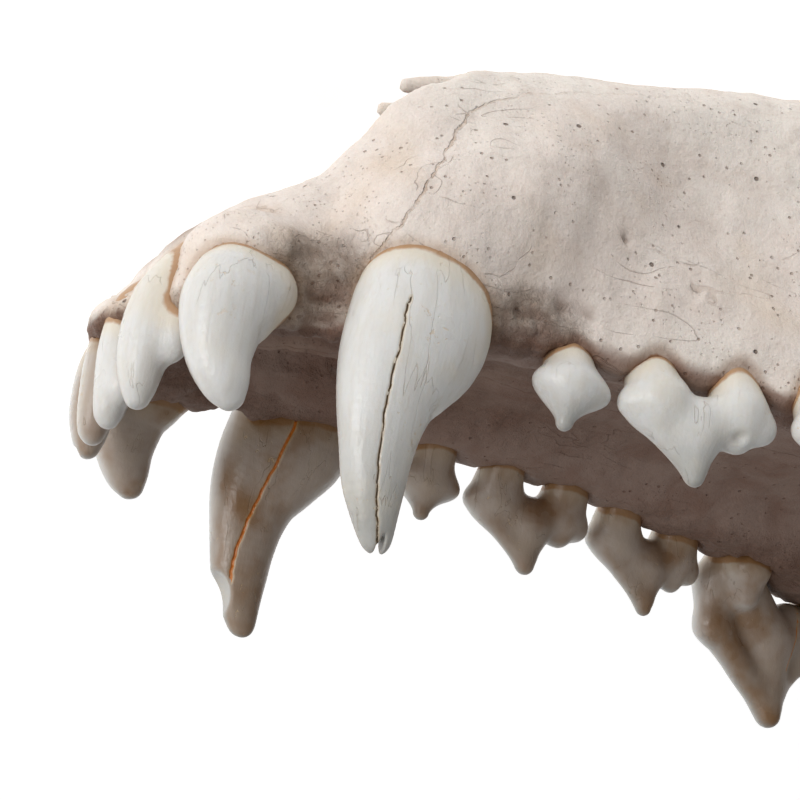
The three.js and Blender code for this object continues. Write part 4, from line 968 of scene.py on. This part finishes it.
def bone_look():
    k = Look("bone")
    at = k.vector("skull")
    clouds = k.noise(at, 0.035, 3, 0.6)
    mottle = k.noise(at, 0.16, 4, 0.6, 0.6)
    fleck = k.noise(at, 0.9, 3, 0.6)
    grain = k.noise(at, 3.2, 3, 0.6)
    colour = k.mix(k.band(clouds, 0.35, 0.66), linear(236, 228, 219), linear(229, 217, 208))
    colour = k.mix(k.band(mottle, 0.42, 0.75, 0, 0.5), colour, linear(214, 198, 187))
    colour = k.mix(k.band(k.noise(at, 0.075, 2, 0.5), 0.55, 0.75, 0, 0.35), colour, linear(214, 190, 160))
    colour = k.mix(k.band(fleck, 0.52, 0.78, 0, 0.22), colour, linear(188, 164, 146))
    colour = k.mix(k.band(grain, 0.3, 0.75, 0, 0.1), colour, linear(160, 138, 122))
    # painted shade: darker in the hollows; paler on the ridges
    hollow = k.value("hollow")
    colour = k.mix(k.band(hollow, 0.05, 0.7, 0, 0.42), colour, linear(176, 152, 134))
    colour = k.mix(k.band(hollow, -0.05, -0.6, 0, 0.35), colour, linear(240, 230, 218))
    # rough pitted places, darker: partly stained rough bone, partly painted shade in the pits and in the recess
    # before the canine
    rough = k.value("rough")
    coarse = k.noise(at, 0.75, 5, 0.68, 0.5)
    patch = k.math("MULTIPLY", k.band(rough, 0.12, 0.62), k.band(coarse, 0.25, 0.6, 0.45, 1.0))
    colour = k.mix(k.math("MULTIPLY", patch, 0.75), colour, linear(150, 126, 108))
    pitted = k.math("MULTIPLY", k.band(rough, 0.1, 0.5), k.band(coarse, 0.42, 0.3))
    colour = k.mix(k.math("MULTIPLY", pitted, 0.6), colour, linear(96, 72, 56))
    # pores, gathered in drifts, and fewer larger ones, with painted shade inside them
    drift = k.noise(at, 0.12, 2, 0.5)
    fine = k.cells(at, 0.8)
    pores = k.math("MULTIPLY", k.band(fine.outputs["Distance"], 0.17, 0.08), k.band(drift, 0.38, 0.56))
    pores = k.math("MULTIPLY", pores, k.band(k.noise(at, 0.6, 1, 0.5), 0.36, 0.5))
    tiny = k.cells(at, 1.7)
    specks = k.math("MULTIPLY", k.band(tiny.outputs["Distance"], 0.2, 0.1), k.band(k.noise(at, 0.09, 2, 0.5), 0.44, 0.6))
    pores = k.math("MAXIMUM", pores, k.math("MULTIPLY", specks, 0.5))
    large = k.cells(at, 0.25)
    holes = k.math("MULTIPLY", k.band(large.outputs["Distance"], 0.075, 0.04), k.band(k.noise(at, 0.21, 1, 0.5), 0.46, 0.58))
    colour = k.mix(k.math("MULTIPLY", pores, 0.62), colour, linear(128, 98, 76))
    colour = k.mix(k.math("MULTIPLY", holes, 0.8), colour, linear(92, 66, 46))
    # hairline scratches, mostly along the muzzle
    hair = None
    for stretch, size, gap in (((0.16, 0.9, 0.7), 0.26, 0.5), ((0.3, 0.8, 0.5), 0.2, 0.46)):
        drawn = k.noise(k.vector("skull", stretch), size, 2, 0.4, 0.1)
        line = k.band(k.math("ABSOLUTE", k.math("SUBTRACT", drawn, gap)), 0.004, 0.0012)
        hair = line if hair is None else k.math("MAXIMUM", hair, line)
    hair = k.math("MULTIPLY", hair, k.band(k.noise(at, 0.055, 2, 0.5), 0.48, 0.6))
    hair = k.math("MULTIPLY", hair, k.band(k.noise(at, 0.3, 2, 0.5), 0.42, 0.58))
    colour = k.mix(k.math("MULTIPLY", hair, 0.3), colour, linear(158, 130, 108))
    # sutures
    wiggle = k.noise(at, 0.42, 4, 0.62)
    lines = None
    for group in range(3):
        offsets, shows = k.parts(f"seam_{group}"), k.parts(f"seamshow_{group}")
        for c in range(3):
            sway = (1.6, 0.5, 1.4, 4.2, 4.6, 2.4, 3.2, 3.0, 2.6)[group * 3 + c]
            swung = k.math("ADD", offsets[c], k.math("MULTIPLY", k.math("SUBTRACT", wiggle, 0.5), sway))
            line = k.math("MULTIPLY", k.band(k.math("ABSOLUTE", swung), 0.2, 0.06), shows[c])
            lines = line if lines is None else k.math("MAXIMUM", lines, line)
    broken = k.math("MULTIPLY", lines, k.band(k.noise(at, 0.8, 2, 0.5), 0.36, 0.56, 0.25, 1))
    colour = k.mix(k.math("MULTIPLY", broken, 0.42), colour, linear(172, 134, 94))
    # round the sockets a brown band and an orange line, partly real dried-gum stain, partly painted shade of the gap
    # and painted glow through the tooth necks; painted shade on the palate and inside the nose
    socket = k.value("socket")
    jitter = k.math("ADD", socket, k.math("MULTIPLY", k.math("SUBTRACT", k.noise(at, 0.8, 3, 0.6), 0.5), 0.7))
    colour = k.mix(k.band(jitter, 1.3, 0.1, 0, 0.36), colour, linear(186, 152, 116))
    colour = k.mix(k.band(jitter, 0.2, 0.02, 0, 0.9), colour, linear(150, 100, 50))
    # painted shade on the palate's downward faces
    palate = k.value("palate")
    cloudy = k.math("MULTIPLY", palate, k.band(mottle, 0.25, 0.7, 1.0, 0.84))
    colour = k.mix(k.math("MULTIPLY", cloudy, 0.92), colour, linear(116, 79, 60))
    # painted shade inside the nose
    colour = k.mix(k.math("MULTIPLY", k.value("nose"), 0.8), colour, linear(140, 110, 88))
    k.plug(k.body.inputs["Base Color"], colour)
    k.plug(k.body.inputs["Roughness"], k.band(mottle, 0.3, 0.75, 0.52, 0.68))
    k.body.inputs["Subsurface Weight"].default_value = 0.06
    k.body.inputs["Subsurface Radius"].default_value = (1.0, 0.5, 0.3)
    k.body.inputs["Subsurface Scale"].default_value = 0.0015
    k.body.inputs["Specular IOR Level"].default_value = 0.42
    # relief
    normal = k.bump(k.noise(at, 0.5, 5, 0.62), 0.34)
    normal = k.bump(k.noise(at, 2.4, 4, 0.65), 0.09, normal)
    normal = k.bump(k.math("MULTIPLY", k.noise(at, 1.3, 5, 0.7, 0.4), k.band(rough, 0.08, 0.6)), 0.9, normal)
    sunk = k.math("MAXIMUM", k.math("MULTIPLY", pores, 0.4), holes)
    sunk = k.math("MAXIMUM", sunk, k.math("MULTIPLY", hair, 0.25))
    sunk = k.math("MAXIMUM", sunk, k.math("MULTIPLY", broken, 0.4))
    normal = k.bump(k.math("SUBTRACT", 1.0, sunk), 0.45, normal)
    k.plug(k.body.inputs["Normal"], normal)
    return k.material


def enamel_look():
    k = Look("enamel")
    at = k.vector("skull")
    down_way = k.vector("skull", (1, 1, 0.16))
    streak = k.noise(down_way, 0.75, 3, 0.6)
    clouds = k.noise(at, 0.16, 3, 0.55)
    fine = k.noise(at, 2.0, 3, 0.6)
    crown = k.value("crown")
    neck = k.value("neck")
    colour = k.mix(k.band(streak, 0.4, 0.66, 0, 0.6), linear(216, 215, 212), linear(208, 204, 197))
    colour = k.mix(k.band(crown, 0.3, 0.95, 0, 0.7), colour, linear(150, 149, 143))
    colour = k.mix(k.band(clouds, 0.5, 0.75, 0, 0.4), colour, linear(214, 206, 188))
    colour = k.mix(k.band(fine, 0.55, 0.8, 0, 0.14), colour, linear(196, 180, 150))
    # cream at the neck; an orange-brown line where the crown meets the bone, partly real stain, partly painted shade
    # of the gap and painted glow through the neck
    sway = k.math("MULTIPLY", k.math("SUBTRACT", k.noise(at, 0.6, 3, 0.6), 0.5), 0.5)
    level = k.math("ADD", neck, sway)
    colour = k.mix(k.band(level, 2.2, 0.4, 0, 0.45), colour, linear(222, 206, 176))
    colour = k.mix(k.band(level, 0.34, 0.02, 0, 0.8), colour, linear(170, 118, 62))
    # on the tongue side: partly real tartar, partly painted shade
    side = k.math("MULTIPLY", k.value("lingual"), k.band(clouds, 0.25, 0.62, 1.0, 0.62))
    colour = k.mix(k.math("MULTIPLY", side, 0.95), colour, linear(130, 92, 48))
    # hairline cracks along the crown, and a few specks of cream
    drawn = k.noise(k.vector("skull", (1, 1, 0.09)), 0.42, 3, 0.5, 0.2)
    hair = k.band(k.math("ABSOLUTE", k.math("SUBTRACT", drawn, 0.5)), 0.006, 0.002)
    hair = k.math("MULTIPLY", hair, k.band(k.noise(at, 0.13, 2, 0.5), 0.5, 0.6))
    colour = k.mix(k.math("MULTIPLY", hair, 0.2), colour, linear(168, 144, 112))
    specks = k.math("MULTIPLY", k.band(k.noise(at, 1.1, 3, 0.7), 0.62, 0.68), k.band(k.noise(at, 0.14, 2, 0.5), 0.55, 0.66))
    colour = k.mix(k.math("MULTIPLY", specks, 0.4), colour, linear(206, 176, 128))
    # open cracks: a brown halo; dark inside on the left teeth, painted glow of light through the crack on the right
    # teeth
    crack = k.value("crack")
    colour = k.mix(k.band(crack, 3.2, 1.3, 0, 0.4), colour, linear(196, 166, 118))
    colour = k.mix(k.band(crack, 1.3, 0.9), colour, k.mix(k.value("crack_glow"), linear(84, 62, 30), linear(196, 112, 28)))
    k.plug(k.body.inputs["Base Color"], colour)
    k.plug(k.body.inputs["Roughness"], k.band(clouds, 0.3, 0.7, 0.26, 0.4))
    k.body.inputs["Subsurface Weight"].default_value = 0.14
    k.body.inputs["Subsurface Radius"].default_value = (1.0, 0.6, 0.35)
    k.body.inputs["Subsurface Scale"].default_value = 0.0014
    normal = k.bump(streak, 0.1)
    normal = k.bump(fine, 0.035, normal)
    normal = k.bump(k.math("SUBTRACT", 1.0, k.math("MAXIMUM", hair, k.math("MULTIPLY", specks, 0.5))), 0.06, normal)
    k.plug(k.body.inputs["Normal"], normal)
    return k.material


bone.data.materials.append(bone_look())
enamel = enamel_look()
for piece in teeth:
    piece.data.materials.append(enamel)
for piece in [bone, *teeth]:
    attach(piece, "root")
    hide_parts("cranium")

# ---- Floor, light and camera
bpy.ops.mesh.primitive_plane_add(size=8, location=(0, 0, 0))
floor = bpy.context.object
floor.name = "floor"
paper = Look("paper")
paper.plug(paper.body.inputs["Base Color"], (0.93, 0.93, 0.93, 1))
paper.plug(paper.body.inputs["Roughness"], 0.9)
paper.body.inputs["Emission Color"].default_value = (1, 1, 1, 1)
paper.body.inputs["Emission Strength"].default_value = 0.62
floor.data.materials.append(paper.material)

scene = bpy.context.scene
scene.view_settings.view_transform = "Standard"
scene.cycles.max_bounces = 3
scene.cycles.diffuse_bounces = 2
scene.cycles.glossy_bounces = 1
world = bpy.data.worlds.new("studio")
scene.world = world
world.use_nodes = True
world.node_tree.nodes["Background"].inputs[0].default_value = (1, 1, 1, 1)
world.node_tree.nodes["Background"].inputs[1].default_value = 0.3

ahead = np.array([0.301, 0.895, 0.33])
ahead /= np.linalg.norm(ahead)
across = np.array([0.926, -0.357, 0.125])
across -= (across @ ahead) * ahead
across /= np.linalg.norm(across)
below = np.cross(ahead, across)
eye = np.array([-46.3, -237.3, -86.8])
ahead, across, below = TURN @ ahead, TURN @ across, TURN @ below
camera = bpy.data.objects.new("camera", bpy.data.cameras.new("camera"))
scene.collection.objects.link(camera)
camera.matrix_world = Matrix([
    [across[0], -below[0], -ahead[0], 0], [across[1], -below[1], -ahead[1], 0],
    [across[2], -below[2], -ahead[2], 0], [0, 0, 0, 1]])
camera.location = to_row(eye)
camera.data.lens = 113.2
camera.data.sensor_width = 36
camera.data.clip_start = 0.01
camera.data.clip_end = 20
scene.camera = camera


def softbox(name, place, size, power, look_at=(-0.1, 0.0, 0.05), colour=(1, 1, 1)):
    light = bpy.data.lights.new(name, "AREA")
    light.shape = "RECTANGLE"
    light.size, light.size_y = size
    light.energy, light.color = power, colour
    lamp = bpy.data.objects.new(name, light)
    scene.collection.objects.link(lamp)
    lamp.location = place
    lamp.rotation_euler = (Vector(look_at) - Vector(place)).to_track_quat("-Z", "Y").to_euler()


def beside(toward, up, left, far):
    """A point far metres out from the snout: toward the camera, up its picture and left of it."""
    way = -toward * ahead - up * below - left * across
    way /= np.linalg.norm(way)
    return tuple(np.array([-0.09, 0.0, 0.05]) + way * far)


softbox("key", beside(0.75, 0.3, 0.6, 0.95), (0.5, 0.4), 4.2)
softbox("top", (-0.9, -0.2, 0.9), (0.9, 0.9), 2.2)
